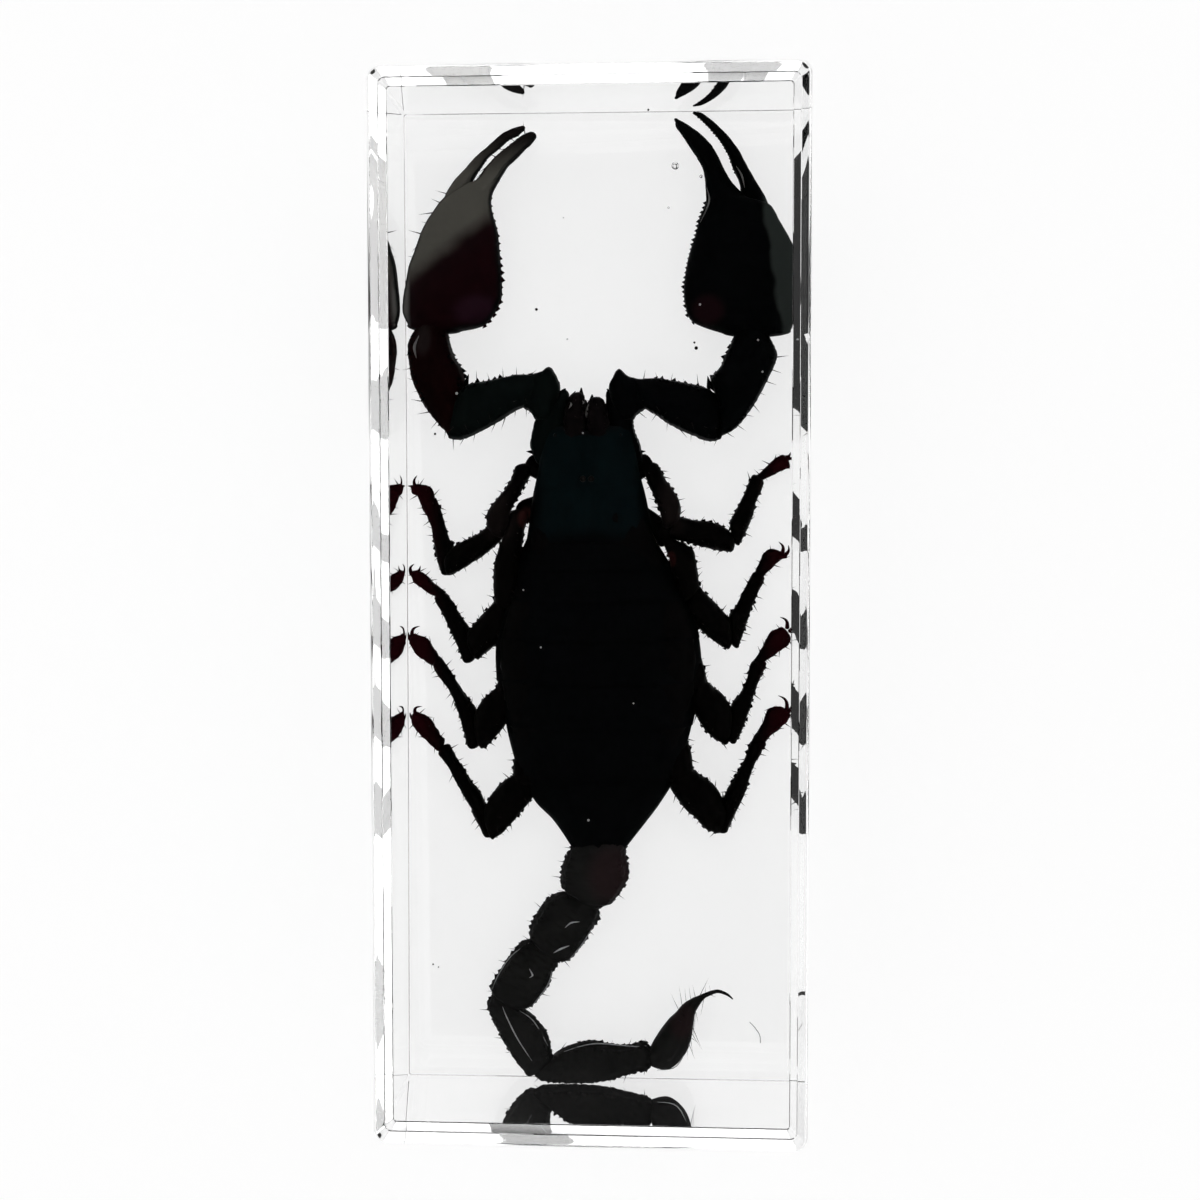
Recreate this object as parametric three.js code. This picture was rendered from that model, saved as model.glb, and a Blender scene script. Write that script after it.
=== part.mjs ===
// Resin block with a scorpion cast inside it.
// The block is one clear casting. Five faces took the shape of the mould, with crisp edges. The sixth,
// now on top, was the open face: the resin crept up the mould's walls as it set and left a raised lip
// round a flat field. The lip was ground to two sloping flats inside and a narrow round at its crest, and
// the upper corners were buffed round.
// +Y runs along the block towards the scorpion's claws, +X is its right-hand side as seen from above,
// and +Z is up. The origin is the centre of the base.
import * as THREE from 'three';

// Driving dimensions, in millimetres.
const BLOCK_WIDTH = 45; // along X
const BLOCK_LENGTH = 111; // along Y
const BLOCK_HEIGHT = 27.7; // along Z, to the crest of the lip
const BASE_EDGE_RADIUS = 0.12; // the slight round on the base edges
const SIDE_EDGE_RADIUS = 0.35; // the slight round on the upright edges
const UPPER_CORNER_RADIUS = 1.3; // the upright edges, in plan, where they were buffed near the top
const BUFFED_HEIGHT = 6; // how far down from the lip the corners were buffed
const LIP_ROUND = 0.3; // the round from the wall to the crest of the lip
const LIP_SLOPE = 1.5; // how far the lip's inner side runs from its crest to the flat field
const LIP_RISE = 1.5; // how high the crest stands above the flat field
const LIP_UPPER_FLAT = 0.55; // the share of that rise taken by the upper of the two flats

// How finely the curves are cut.
const CORNER_STEPS = 6;
const BASE_STEPS = 3;
const BUFF_STEPS = 4;
const LIP_STEPS = 8;

// Finish of the polished casting resin.
const RESIN_COLOUR = 0xf2f5f4;
const RESIN_ROUGHNESS = 0.04;

// The plan at one height: a rounded rectangle, set in from the walls all round.
function planOutline(inset, radius) {
  const x = BLOCK_WIDTH / 2 - inset - radius;
  const y = BLOCK_LENGTH / 2 - inset - radius;
  const quarter = Math.PI / 2;
  const corners = [[x, y], [-x, y], [-x, -y], [x, -y]].map(([cx, cy], turn) =>
    new THREE.ArcCurve(cx, cy, radius, turn * quarter, (turn + 1) * quarter, false));
  return corners.flatMap((corner) => corner.getPoints(CORNER_STEPS));
}

// The levels from the base to the flat field: height, inset from the wall, and plan corner radius.
function levels() {
  const found = [];
  for (let step = 0; step <= BASE_STEPS; step += 1) {
    const turn = (step / BASE_STEPS) * (Math.PI / 2);
    const inset = BASE_EDGE_RADIUS * (1 - Math.sin(turn));
    found.push({ height: BASE_EDGE_RADIUS * (1 - Math.cos(turn)), inset, radius: SIDE_EDGE_RADIUS - inset });
  }
  const buffStart = BLOCK_HEIGHT - LIP_ROUND - BUFFED_HEIGHT;
  for (let step = 0; step <= BUFF_STEPS; step += 1) {
    const part = step / BUFF_STEPS;
    const eased = part * part * (3 - 2 * part);
    const radius = THREE.MathUtils.lerp(SIDE_EDGE_RADIUS, UPPER_CORNER_RADIUS, eased);
    found.push({ height: buffStart + BUFFED_HEIGHT * part, inset: 0, radius });
  }
  for (let step = 1; step <= LIP_STEPS; step += 1) {
    const turn = (step / LIP_STEPS) * (Math.PI / 2);
    const inset = LIP_ROUND * (1 - Math.cos(turn));
    const height = BLOCK_HEIGHT - LIP_ROUND * (1 - Math.sin(turn));
    found.push({ height, inset, radius: UPPER_CORNER_RADIUS - 0.8 * inset });
  }
  const crestRadius = found.at(-1).radius;
  for (const [run, share] of [[LIP_SLOPE / 2, LIP_UPPER_FLAT], [LIP_SLOPE, 1]]) {
    const radius = crestRadius - run / 2;
    found.push({ height: BLOCK_HEIGHT - LIP_RISE * share, inset: LIP_ROUND + run, radius });
  }
  return found;
}

function resinShape() {
  const rings = levels().map(({ height, inset, radius }) =>
    planOutline(inset, radius).map((point) => [point.x, point.y, height]));
  const around = rings[0].length;
  const faces = [];
  for (let level = 0; level < rings.length - 1; level += 1) {
    for (let i = 0; i < around; i += 1) {
      const a = level * around + i;
      const b = level * around + ((i + 1) % around);
      faces.push(a, b, b + around, a, b + around, a + around);
    }
  }
  const top = (rings.length - 1) * around;
  const cap = THREE.ShapeUtils.triangulateShape(rings[0].map(([x, y]) => new THREE.Vector2(x, y)), []);
  for (const [a, b, c] of cap) {
    faces.push(c, b, a, top + a, top + b, top + c);
  }
  const shape = new THREE.BufferGeometry();
  shape.setAttribute('position', new THREE.Float32BufferAttribute(rings.flat(2), 3));
  shape.setIndex(faces);
  shape.computeVertexNormals();
  return shape;
}

function resinBlock() {
  const resin = new THREE.MeshStandardMaterial({
    color: RESIN_COLOUR,
    roughness: RESIN_ROUGHNESS,
    metalness: 0,
    transparent: true,
    opacity: 0.35,
  });
  const block = new THREE.Mesh(resinShape(), resin);
  block.name = 'resin_block';
  return block;
}

const group = new THREE.Group();
group.add(resinBlock());

export default group;
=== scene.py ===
import math

import bpy
from mathutils import Matrix, Vector, noise


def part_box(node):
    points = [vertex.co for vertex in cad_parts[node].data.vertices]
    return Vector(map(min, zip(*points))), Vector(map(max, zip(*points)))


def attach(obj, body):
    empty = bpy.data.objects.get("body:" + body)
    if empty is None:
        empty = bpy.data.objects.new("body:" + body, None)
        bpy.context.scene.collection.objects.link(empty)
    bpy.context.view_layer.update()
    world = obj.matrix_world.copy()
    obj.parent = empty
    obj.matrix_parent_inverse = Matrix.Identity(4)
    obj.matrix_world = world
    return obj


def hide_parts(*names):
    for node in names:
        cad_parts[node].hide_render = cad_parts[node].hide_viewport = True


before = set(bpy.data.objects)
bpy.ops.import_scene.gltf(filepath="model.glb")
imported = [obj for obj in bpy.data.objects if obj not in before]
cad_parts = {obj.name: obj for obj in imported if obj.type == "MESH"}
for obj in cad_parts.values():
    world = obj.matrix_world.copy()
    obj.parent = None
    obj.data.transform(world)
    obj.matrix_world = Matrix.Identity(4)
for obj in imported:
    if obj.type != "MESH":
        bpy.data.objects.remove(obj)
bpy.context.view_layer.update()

scene = bpy.context.scene

# ---------------------------------------------------------------- the clear block
# One clear casting of water-white resin. Base and walls took the crisp corners of the mould, and the
# open face, now on top, set with a raised lip that crept up the mould's walls. The lip was ground to
# two sloping flats inside, with a narrow round at its crest.

MM = 0.001
BLOCK_LOW, BLOCK_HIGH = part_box("resin_block")
BLOCK_WIDTH = (BLOCK_HIGH.x - BLOCK_LOW.x) / MM
BLOCK_LENGTH = (BLOCK_HIGH.y - BLOCK_LOW.y) / MM
LIP_CREST = BLOCK_HIGH.z / MM
BASE_ROUND = 0.12
UPRIGHT_ROUND = 0.35
BUFFED_CORNER = 1.3
BUFFED_HEIGHT = 6.0
LIP_ROUND = 0.3
LIP_SLOPE = 1.5
LIP_RISE = 1.5
LIP_PROFILE = (
    # share of the slope's run, share of its fall: two flats with a fine grinding step between them
    (0.08, 0.088), (0.44, 0.484), (0.47, 0.470), (0.50, 0.550), (0.94, 0.946), (0.975, 1.035), (1.0, 1.0),
)
RESIN_IOR = 1.53
RESIN_CLEAR = (1.0, 1.0, 1.0, 1.0)
RESIN_TINT = (0.93, 0.97, 0.95, 1.0)
RESIN_TINT_DENSITY = 0.6


CORNER_STEPS = 10
BASE_STEPS = 5
WALL_STEPS = 8
CREST_STEPS = 14
CORNER_CLOSING = 0.8


def block_outline(inset, corner, height):
    """The block's plan at one height: a rectangle with round corners, in mm."""
    reach_x = BLOCK_WIDTH / 2 - inset - corner
    reach_y = BLOCK_LENGTH / 2 - inset - corner
    ring = []
    for quarter, (side_x, side_y) in enumerate(((1, 1), (-1, 1), (-1, -1), (1, -1))):
        for step in range(CORNER_STEPS + 1):
            turn = math.pi / 2 * (quarter + step / CORNER_STEPS)
            x = side_x * reach_x + corner * math.cos(turn)
            y = side_y * reach_y + corner * math.sin(turn)
            ring.append(Vector((x, y, height)))
    return ring


def block_rings():
    """The outlines from the base, up the walls, over the lip and down to the flat field."""
    rings = []
    for step in range(BASE_STEPS + 1):
        turn = math.pi / 2 * step / BASE_STEPS
        inset = BASE_ROUND * (1 - math.sin(turn))
        rings.append(block_outline(inset, UPRIGHT_ROUND - inset, BASE_ROUND * (1 - math.cos(turn))))
    buff_start = LIP_CREST - LIP_ROUND - BUFFED_HEIGHT
    for step in range(WALL_STEPS + 1):
        part = step / WALL_STEPS
        eased = part * part * (3 - 2 * part)
        corner = UPRIGHT_ROUND + (BUFFED_CORNER - UPRIGHT_ROUND) * eased
        rings.append(block_outline(0, corner, buff_start + BUFFED_HEIGHT * part))
    for step in range(1, CREST_STEPS + 1):
        turn = math.pi / 2 * step / CREST_STEPS
        inset = LIP_ROUND * (1 - math.cos(turn))
        height = LIP_CREST - LIP_ROUND * (1 - math.sin(turn))
        rings.append(block_outline(inset, BUFFED_CORNER - CORNER_CLOSING * inset, height))
    crest_corner = BUFFED_CORNER - CORNER_CLOSING * LIP_ROUND
    for run, fall in LIP_PROFILE:
        corner = crest_corner - LIP_SLOPE * run / 2
        rings.append(block_outline(LIP_ROUND + LIP_SLOPE * run, corner, LIP_CREST - LIP_RISE * fall))
    return rings


def skin_over(rings):
    """Joins rings of equal length into one skin, with faces pointing out. Returns points and faces."""
    around = len(rings[0])
    points = [point for ring in rings for point in ring]
    faces = []
    for level in range(len(rings) - 1):
        for i in range(around):
            a = level * around + i
            b = level * around + (i + 1) % around
            faces.append((a, b, b + around, a + around))
    last = (len(rings) - 1) * around
    faces.append(tuple(reversed(range(around))))
    faces.append(tuple(range(last, last + around)))
    return points, faces


def make_piece(name, shells, material, smooth_angle=180.0):
    """One object from one or more closed shells, given in mm, that rides on the block's body."""
    points = []
    faces = []
    for shell_points, shell_faces in shells:
        start = len(points)
        points += [tuple(point * MM) for point in shell_points]
        faces += [tuple(start + corner for corner in face) for face in shell_faces]
    mesh = bpy.data.meshes.new(name)
    mesh.from_pydata(points, [], faces)
    mesh.validate()
    mesh.polygons.foreach_set("use_smooth", [True] * len(mesh.polygons))
    mesh.materials.append(material)
    if smooth_angle < 180:
        mesh.set_sharp_from_angle(angle=math.radians(smooth_angle))
    made = bpy.data.objects.new(name, mesh)
    scene.collection.objects.link(made)
    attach(made, "root")
    return made


def add_node(tree, kind, inputs, **settings):
    """A node with its settings. An input is given a value, or the socket that feeds it."""
    node = tree.nodes.new(kind)
    for label, value in settings.items():
        setattr(node, label, value)
    for label, value in inputs.items():
        if isinstance(value, bpy.types.NodeSocket):
            tree.links.new(value, node.inputs[label])
        else:
            node.inputs[label].default_value = value
    return node


def plain_finish(name, values):
    """A new material, with the values that are the same all over set on the shader's own sockets."""
    made = bpy.data.materials.new(name)
    made.use_nodes = True
    for label, value in values.items():
        made.node_tree.nodes["Principled BSDF"].inputs[label].default_value = value
    return made


CLEAR_THROUGH = {"Base Color": RESIN_CLEAR, "Roughness": 0.0, "Transmission Weight": 1.0}
clear_resin = plain_finish("clear_resin", dict(CLEAR_THROUGH, IOR=RESIN_IOR))
resin_tree = clear_resin.node_tree
tint = add_node(resin_tree, "ShaderNodeVolumeAbsorption",
                {"Color": RESIN_TINT, "Density": RESIN_TINT_DENSITY})
resin_tree.links.new(tint.outputs["Volume"], resin_tree.nodes["Material Output"].inputs["Volume"])
RESIN_SMOOTH_ANGLE = 20.0
clear_block = make_piece("clear_block", [skin_over(block_rings())], clear_resin,
                         RESIN_SMOOTH_ANGLE)
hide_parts("resin_block")

# ---------------------------------------------------------------- carapace and eyes
# The shield over the head: one plate of hard cuticle, notched in front and grooved down its middle,
# with a pair of eyes on a low mound at its centre and three small ones at each front corner.

CARAPACE = (
    # y, left edge, right edge, edge height, crown height
    (20.0, -5.8, 3.6, 5.6, 6.8),
    (19.2, -6.2, 3.9, 5.4, 7.3),
    (17.6, -6.6, 4.2, 5.1, 7.8),
    (15, -6.9, 4.5, 5, 8.2),
    (12.2, -7.5, 5.2, 4.9, 8.4),
    (9.3, -7.9, 5.8, 4.8, 8.5),
    (6.8, -8.3, 6.3, 4.8, 8.5),
)
PLATE_THICKNESS = 0.35
PLATE_STEPS = 36
PLATE_SPREAD = 82.0
PLATE_CREASE = 50.0


def smooth_through(rows, per_gap):
    """Rows of numbers on a smooth curve that passes through the given rows."""
    found = []
    for i in range(len(rows) - 1):
        before = rows[max(i - 1, 0)]
        after = rows[min(i + 2, len(rows) - 1)]
        for step in range(per_gap):
            t = step / per_gap
            found.append(tuple(
                0.5 * (2 * b + (c - a) * t + (2 * a - 5 * b + 4 * c - d) * t * t
                       + (3 * b - a - 3 * c + d) * t ** 3)
                for a, b, c, d in zip(before, rows[i], rows[i + 1], after)))
    found.append(tuple(rows[-1]))
    return found


def arched_plate(stations, relief):
    """A curved plate with a rolled rim: stations run front to back, relief moves points of its face."""
    widest = math.radians(PLATE_SPREAD)
    outer = []
    inner = []
    for row, (y, left, right, edge, crown) in enumerate(stations):
        along = row / (len(stations) - 1)
        middle = (left + right) / 2
        half = (right - left) / 2
        for sheet, thin in ((outer, 0.0), (inner, PLATE_THICKNESS)):
            line = []
            for step in range(PLATE_STEPS + 1):
                side = 2 * step / PLATE_STEPS - 1
                x = middle + (half - thin) * math.sin(side * widest) / math.sin(widest)
                rise = (math.cos(side * widest) - math.cos(widest)) / (1 - math.cos(widest))
                z = edge + (crown - thin - edge) * rise
                push_y, push_z = relief(side, along)
                line.append(Vector((x, y + push_y, z + push_z)))
            sheet.append(line)
    rings = []
    for front_line, back_line in zip(outer, inner):
        rings.append(list(reversed(front_line)) + back_line)
    return skin_over(rings)


def carapace_relief(side, along):
    notch = 0.55 * math.exp(-(side / 0.16) ** 2) * math.exp(-(along / 0.10) ** 2)
    bow = -0.8 * (1 - along) ** 3 * side * side
    groove = 0.22 * math.exp(-(side / 0.045) ** 2)
    rear_pits = 0.35 * math.exp(-((abs(side) - 0.30) / 0.10) ** 2 - ((along - 0.80) / 0.10) ** 2)
    mound = 0.45 * math.exp(-(side / 0.13) ** 2 - ((along - 0.42) / 0.09) ** 2)
    cross_fold = 0.12 * math.exp(-((along - 0.62) / 0.03) ** 2)
    return bow - notch, mound - groove - rear_pits - cross_fold


def node_group(name, kind, inputs, outputs):
    """An empty node group with named sockets. Returns it, its given values and its result node."""
    group = bpy.data.node_groups.new(name, kind)
    for label, socket_kind, value in inputs:
        socket = group.interface.new_socket(name=label, in_out="INPUT", socket_type=socket_kind)
        if value is not None:
            socket.default_value = value
    for label, socket_kind in outputs:
        group.interface.new_socket(name=label, in_out="OUTPUT", socket_type=socket_kind)
    return group, group.nodes.new("NodeGroupInput").outputs, group.nodes.new("NodeGroupOutput")


def cuticle_group():
    """Mottled colour, roughness and fine grain of hard cuticle, from the piece's own coordinates."""
    group, given, result = node_group("cuticle_skin", "ShaderNodeTree", (
        ("Deep Colour", "NodeSocketColor", (0.001, 0.002, 0.002, 1)),
        ("Raised Colour", "NodeSocketColor", (0.004, 0.006, 0.006, 1)),
        ("Mottle Scale", "NodeSocketFloat", 300.0),
        ("Grain Scale", "NodeSocketFloat", 2400.0),
        ("Grain Depth", "NodeSocketFloat", 0.4)), (
        ("Colour", "NodeSocketColor"), ("Roughness", "NodeSocketFloat"), ("Height", "NodeSocketFloat")))
    place = group.nodes.new("ShaderNodeTexCoord").outputs["Object"]
    mottle = add_node(group, "ShaderNodeTexNoise",
                      {"Detail": 3.0, "Vector": place, "Scale": given["Mottle Scale"]}).outputs["Fac"]
    pits = add_node(group, "ShaderNodeTexVoronoi", {"Vector": place, "Scale": given["Grain Scale"]},
                    feature="SMOOTH_F1").outputs["Distance"]
    grain = add_node(group, "ShaderNodeMath", {0: pits, 1: given["Grain Depth"]}, operation="MULTIPLY")
    total = add_node(group, "ShaderNodeMath", {0: grain.outputs[0], 1: mottle}, operation="ADD")
    blend = add_node(group, "ShaderNodeMix", {
        "Factor": mottle, "A": given["Deep Colour"], "B": given["Raised Colour"]}, data_type="RGBA")
    shine = add_node(group, "ShaderNodeMapRange", {
        "From Min": 0.3, "From Max": 0.7, "To Min": 0.42, "To Max": 0.62, "Value": mottle})
    group.links.new(blend.outputs["Result"], result.inputs["Colour"])
    group.links.new(shine.outputs["Result"], result.inputs["Roughness"])
    group.links.new(total.outputs[0], result.inputs["Height"])
    return group


CUTICLE_SKIN = cuticle_group()
CUTICLE_GLOSS = 0.01
CUTICLE_BUMP = 0.6
CUTICLE_BUMP_MM = 0.05


def cuticle_finish(name, deep, raised, grain_scale=2400.0, grain_depth=0.5, mottle_scale=300.0):
    """A cuticle material. Sealed in resin of nearly its own index, cuticle keeps very little gloss."""
    made = plain_finish(name, {"Specular IOR Level": CUTICLE_GLOSS})
    tree = made.node_tree
    shader = tree.nodes["Principled BSDF"]
    skin = add_node(tree, "ShaderNodeGroup", {}, node_tree=CUTICLE_SKIN)
    for label, value in (("Deep Colour", deep), ("Raised Colour", raised), ("Grain Scale", grain_scale),
                         ("Grain Depth", grain_depth), ("Mottle Scale", mottle_scale)):
        skin.inputs[label].default_value = value
    bump = add_node(tree, "ShaderNodeBump", {
        "Strength": CUTICLE_BUMP, "Distance": CUTICLE_BUMP_MM * MM, "Height": skin.outputs["Height"]})
    tree.links.new(skin.outputs["Colour"], shader.inputs["Base Color"])
    tree.links.new(skin.outputs["Roughness"], shader.inputs["Roughness"])
    tree.links.new(bump.outputs["Normal"], shader.inputs["Normal"])
    return made


def patch_group():
    """A soft round patch of another colour, placed in the piece's own coordinates."""
    group, given, result = node_group("tint_patch", "ShaderNodeTree", (
        ("Colour", "NodeSocketColor", None), ("Tint", "NodeSocketColor", None),
        ("Centre", "NodeSocketVector", None), ("Reach", "NodeSocketVector", None)), (
        ("Colour", "NodeSocketColor"),))
    place = group.nodes.new("ShaderNodeTexCoord").outputs["Object"]
    off = add_node(group, "ShaderNodeVectorMath", {0: place, 1: given["Centre"]}, operation="SUBTRACT")
    share = add_node(group, "ShaderNodeVectorMath", {0: off.outputs["Vector"], 1: given["Reach"]},
                     operation="DIVIDE")
    far = add_node(group, "ShaderNodeVectorMath", {0: share.outputs["Vector"]}, operation="LENGTH")
    fade = add_node(group, "ShaderNodeMapRange", {
        "From Min": PATCH_CORE, "From Max": 1.0, "To Min": 1.0, "To Max": 0.0,
        "Value": far.outputs["Value"]}, interpolation_type="SMOOTHSTEP")
    blend = add_node(group, "ShaderNodeMix", {
        "Factor": fade.outputs["Result"], "A": given["Colour"], "B": given["Tint"]}, data_type="RGBA")
    group.links.new(blend.outputs["Result"], result.inputs["Colour"])
    return group


PATCH_CORE = 0.45
TINT_PATCH = patch_group()


def add_patch(finish, centre, reach, tint):
    """Lays one soft patch over a finish; centre and reach in mm."""
    tree = finish.node_tree
    base = tree.nodes["Principled BSDF"].inputs["Base Color"]
    under = base.links[0].from_socket
    spot = add_node(tree, "ShaderNodeGroup", {}, node_tree=TINT_PATCH)
    spot.inputs["Tint"].default_value = tint
    spot.inputs["Centre"].default_value = [value * MM for value in centre]
    spot.inputs["Reach"].default_value = [value * MM for value in reach]
    tree.links.new(under, spot.inputs["Colour"])
    tree.links.new(spot.outputs["Colour"], base)


TEAL_BLACK = (0.0008, 0.0026, 0.0032, 1)
TEAL_GREY = (0.0022, 0.0060, 0.0068, 1)
carapace_cuticle = cuticle_finish("carapace_cuticle", TEAL_BLACK, TEAL_GREY)
MARGIN_BLACK = (0.0007, 0.0009, 0.0010, 1)
FRONT_BROWN = (0.0040, 0.0030, 0.0032, 1)
add_patch(carapace_cuticle, (-9.2, 12.0, 6.5), (3.4, 10.0, 4.0), MARGIN_BLACK)
add_patch(carapace_cuticle, (7.2, 12.0, 6.5), (3.4, 10.0, 4.0), MARGIN_BLACK)
add_patch(carapace_cuticle, (-1.0, 4.9, 8.0), (12.0, 4.2, 4.0), MARGIN_BLACK)
add_patch(carapace_cuticle, (-1.2, 21.6, 7.0), (7.5, 3.2, 4.0), FRONT_BROWN)
make_piece("carapace", [arched_plate(smooth_through(CARAPACE, 8), carapace_relief)],
           carapace_cuticle, PLATE_CREASE)


def bead(middle, radius, flat=1.0, around=20):
    """A small closed dome or ball, in mm."""
    rings = []
    levels = around // 2
    for level in range(1, levels):
        turn = math.pi * level / levels
        ring = []
        for step in range(around):
            side = 2 * math.pi * step / around
            out = radius * math.sin(turn)
            ring.append(Vector(middle) + Vector((out * math.cos(side), out * math.sin(side),
                                                 -radius * flat * math.cos(turn))))
        rings.append(ring)
    return skin_over(rings)


EYE_MOUND = (-1.2, 13.9, 8.35)
EYE_GAP = 0.45
EYE_SIZE = 0.36
CORNER_EYE_SIZE = 0.22
CORNER_EYES = ((3.65, 18.8, 6.6), (3.85, 18.1, 6.5), (3.8, 17.4, 6.4))
eye_beads = []
for side in (-1, 1):
    place = (EYE_MOUND[0] + side * EYE_GAP, EYE_MOUND[1], EYE_MOUND[2])
    eye_beads.append(bead(place, EYE_SIZE))
    for out, y, z in CORNER_EYES:
        eye_beads.append(bead((EYE_MOUND[0] + side * out, y, z), CORNER_EYE_SIZE, around=12))
EYE_BLACK = (0.002, 0.002, 0.002, 1)
EYE_SHEEN = (0.01, 0.009, 0.008, 1)
eye_glass = cuticle_finish("eye_lens", EYE_BLACK, EYE_SHEEN, grain_scale=900.0, grain_depth=0.05)
make_piece("eyes", eye_beads, eye_glass)

# ---------------------------------------------------------------- back plates
# Seven plates across the broad abdomen, each overlapping the next like roof slates, on a tough
# folded skin that shows as a dull band along both sides.

ABDOMEN = (
    # y, left edge, right edge, crown height
    (7.3, -8.2, 6.2, 8.3),
    (3.7, -9.6, 8.3, 8.9),
    (0.1, -10.7, 10.1, 9.3),
    (-4.3, -11.7, 11.3, 9.6),
    (-8.7, -11.6, 11.4, 9.7),
    (-13.2, -10.8, 10.6, 9.4),
    (-17.2, -9.8, 9.5, 9),
    (-20.2, -8.7, 8.4, 8.7),
    (-22.8, -7.2, 6.8, 8.3),
    (-24.8, -5.2, 5.3, 7.8),
    (-27.6, -3.2, 3.1, 7),
)
ABDOMEN_FINE = smooth_through(ABDOMEN, 10)
PLATE_BREAKS = (6.9, 3.9, 0.4, -3.9, -8.7, -13.8, -19.4, -27.5)
PLATE_OVERLAP = 0.35
PLATE_ROWS = 18
PLATE_EDGE = 4.9
PLATE_FLARE = 0.10
BLACK_CUTICLE = (0.0006, 0.0008, 0.0009, 1)
BLACK_SHEEN = (0.0014, 0.0018, 0.0020, 1)
abdomen_cuticle = cuticle_finish("abdomen_cuticle", BLACK_CUTICLE, BLACK_SHEEN,
                                 grain_scale=1900.0, grain_depth=0.7)


def abdomen_at(y):
    """Left edge, right edge and crown of the abdomen at one place along it."""
    for front, back in zip(ABDOMEN_FINE, ABDOMEN_FINE[1:]):
        if front[0] >= y >= back[0]:
            part = (front[0] - y) / (front[0] - back[0])
            return [a + (b - a) * part for a, b in zip(front[1:], back[1:])]
    return list(ABDOMEN_FINE[-1][1:])


def back_plate_relief(side, along):
    keel = 0.10 * math.exp(-(side / 0.05) ** 2)
    pair = 0.10 * math.exp(-((abs(side) - 0.34) / 0.06) ** 2) * math.sin(math.pi * along)
    rear_lip = 0.16 * math.exp(-((1 - along) / 0.07) ** 2)
    front_dip = -0.30 * math.exp(-(along / 0.10) ** 2)
    bow = -0.35 * (1 - side * side) * along
    return bow, keel + pair + rear_lip + front_dip


for number in range(len(PLATE_BREAKS) - 1):
    front = PLATE_BREAKS[number] + PLATE_OVERLAP
    back = PLATE_BREAKS[number + 1]
    rows = []
    for step in range(PLATE_ROWS + 1):
        y = front + (back - front) * step / PLATE_ROWS
        left, right, crown = abdomen_at(min(y, ABDOMEN[0][0]))
        lift = PLATE_FLARE * step / PLATE_ROWS
        rows.append((y, left - lift, right + lift, PLATE_EDGE, crown + lift))
    make_piece("back_plate_%d" % (number + 1), [arched_plate(rows, back_plate_relief)],
               abdomen_cuticle, PLATE_CREASE)

# ---------------------------------------------------------------- body skin and belly plates
# Below the back plates the body is a flattened bag of leathery skin. Five belly plates with slit
# breathing holes, the breastplate, and a pair of feeling combs lie against it underneath.

SIDE_SMOOTH = 2.3
SKIN_STEPS = 32
WALL_GAP = 0.1
CAP_STEPS = 5
CAP_CLOSING = 0.97


def within_walls(point):
    """Keeps a point, in mm, inside the resin, as the mould's walls kept the specimen's tips."""
    reach_x = BLOCK_WIDTH / 2 - WALL_GAP
    reach_y = BLOCK_LENGTH / 2 - WALL_GAP
    x = max(-reach_x, min(reach_x, point.x))
    y = max(-reach_y, min(reach_y, point.y))
    return Vector((x, y, max(WALL_GAP, point.z)))


def limb_shell(ribs, per_gap=5, around=SKIN_STEPS, square=SIDE_SMOOTH, ends=(0.7, 0.7), keels=(),
               roughness=0.0, beads=0.0, bead_gap=0.6):
    """One closed limb segment. A rib is (left x, left y, right x, right y, middle height, half
    thickness) in mm; keels are (turn in degrees, width in degrees, height in mm)."""
    rows = smooth_through(ribs, per_gap)
    middles = [Vector(((r[0] + r[2]) / 2, (r[1] + r[3]) / 2, r[4])) for r in rows]
    stations = []
    travelled = 0.0
    for i, row in enumerate(rows):
        across = Vector(((row[2] - row[0]) / 2, (row[3] - row[1]) / 2, 0))
        if i:
            travelled += (middles[i] - middles[i - 1]).length
        stations.append((middles[i], across, row[5], travelled))
    first_way = (middles[0] - middles[1]).normalized()
    last_way = (middles[-1] - middles[-2]).normalized()
    start_cap = []
    end_cap = []
    for step in range(1, CAP_STEPS + 1):
        turn = math.pi / 2 * step / CAP_STEPS * CAP_CLOSING
        shrink = math.cos(turn)
        for cap, station, way, bulge in ((start_cap, stations[0], first_way, ends[0]),
                                         (end_cap, stations[-1], last_way, ends[1])):
            middle, across, half, run = station
            out = way * bulge * half * math.sin(turn)
            cap.append((middle + out, across * shrink, half * shrink, run))
    rings = []
    for middle, across, half, run in list(reversed(start_cap)) + stations + end_cap:
        wide = max(across.length, 1e-6)
        ring = []
        for step in range(around):
            turn = 2 * math.pi * step / around
            flat = math.copysign(abs(math.cos(turn)) ** (2 / square), math.cos(turn))
            high = math.copysign(abs(math.sin(turn)) ** (2 / square), math.sin(turn))
            out = across.normalized() * math.cos(turn) + Vector((0, 0, math.sin(turn)))
            point = middle + across * flat + Vector((0, 0, half * high))
            push = 0.0
            for keel_turn, keel_width, keel_height in keels:
                off = (math.degrees(turn) - keel_turn + 180) % 360 - 180
                ripple = 1.0 - beads + beads * abs(math.sin(math.pi * run / bead_gap))
                push += keel_height * ripple * math.exp(-(off / keel_width) ** 2)
            if roughness:
                push += roughness * noise.noise(point * 1.7)
                push += 0.5 * roughness * noise.noise(point * 4.1)
            ring.append(within_walls(point + out * push * min(1.0, wide / 0.8, half / 0.5)))
        rings.append(ring)
    points, faces = skin_over(rings)
    # the rings turn from the right edge up over the top, so faces point out when that is
    # anticlockwise about the way that the limb runs
    if stations[0][1].cross(Vector((0, 0, 1))).dot(first_way) < 0:
        return points, faces
    return points, [tuple(reversed(face)) for face in faces]


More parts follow.
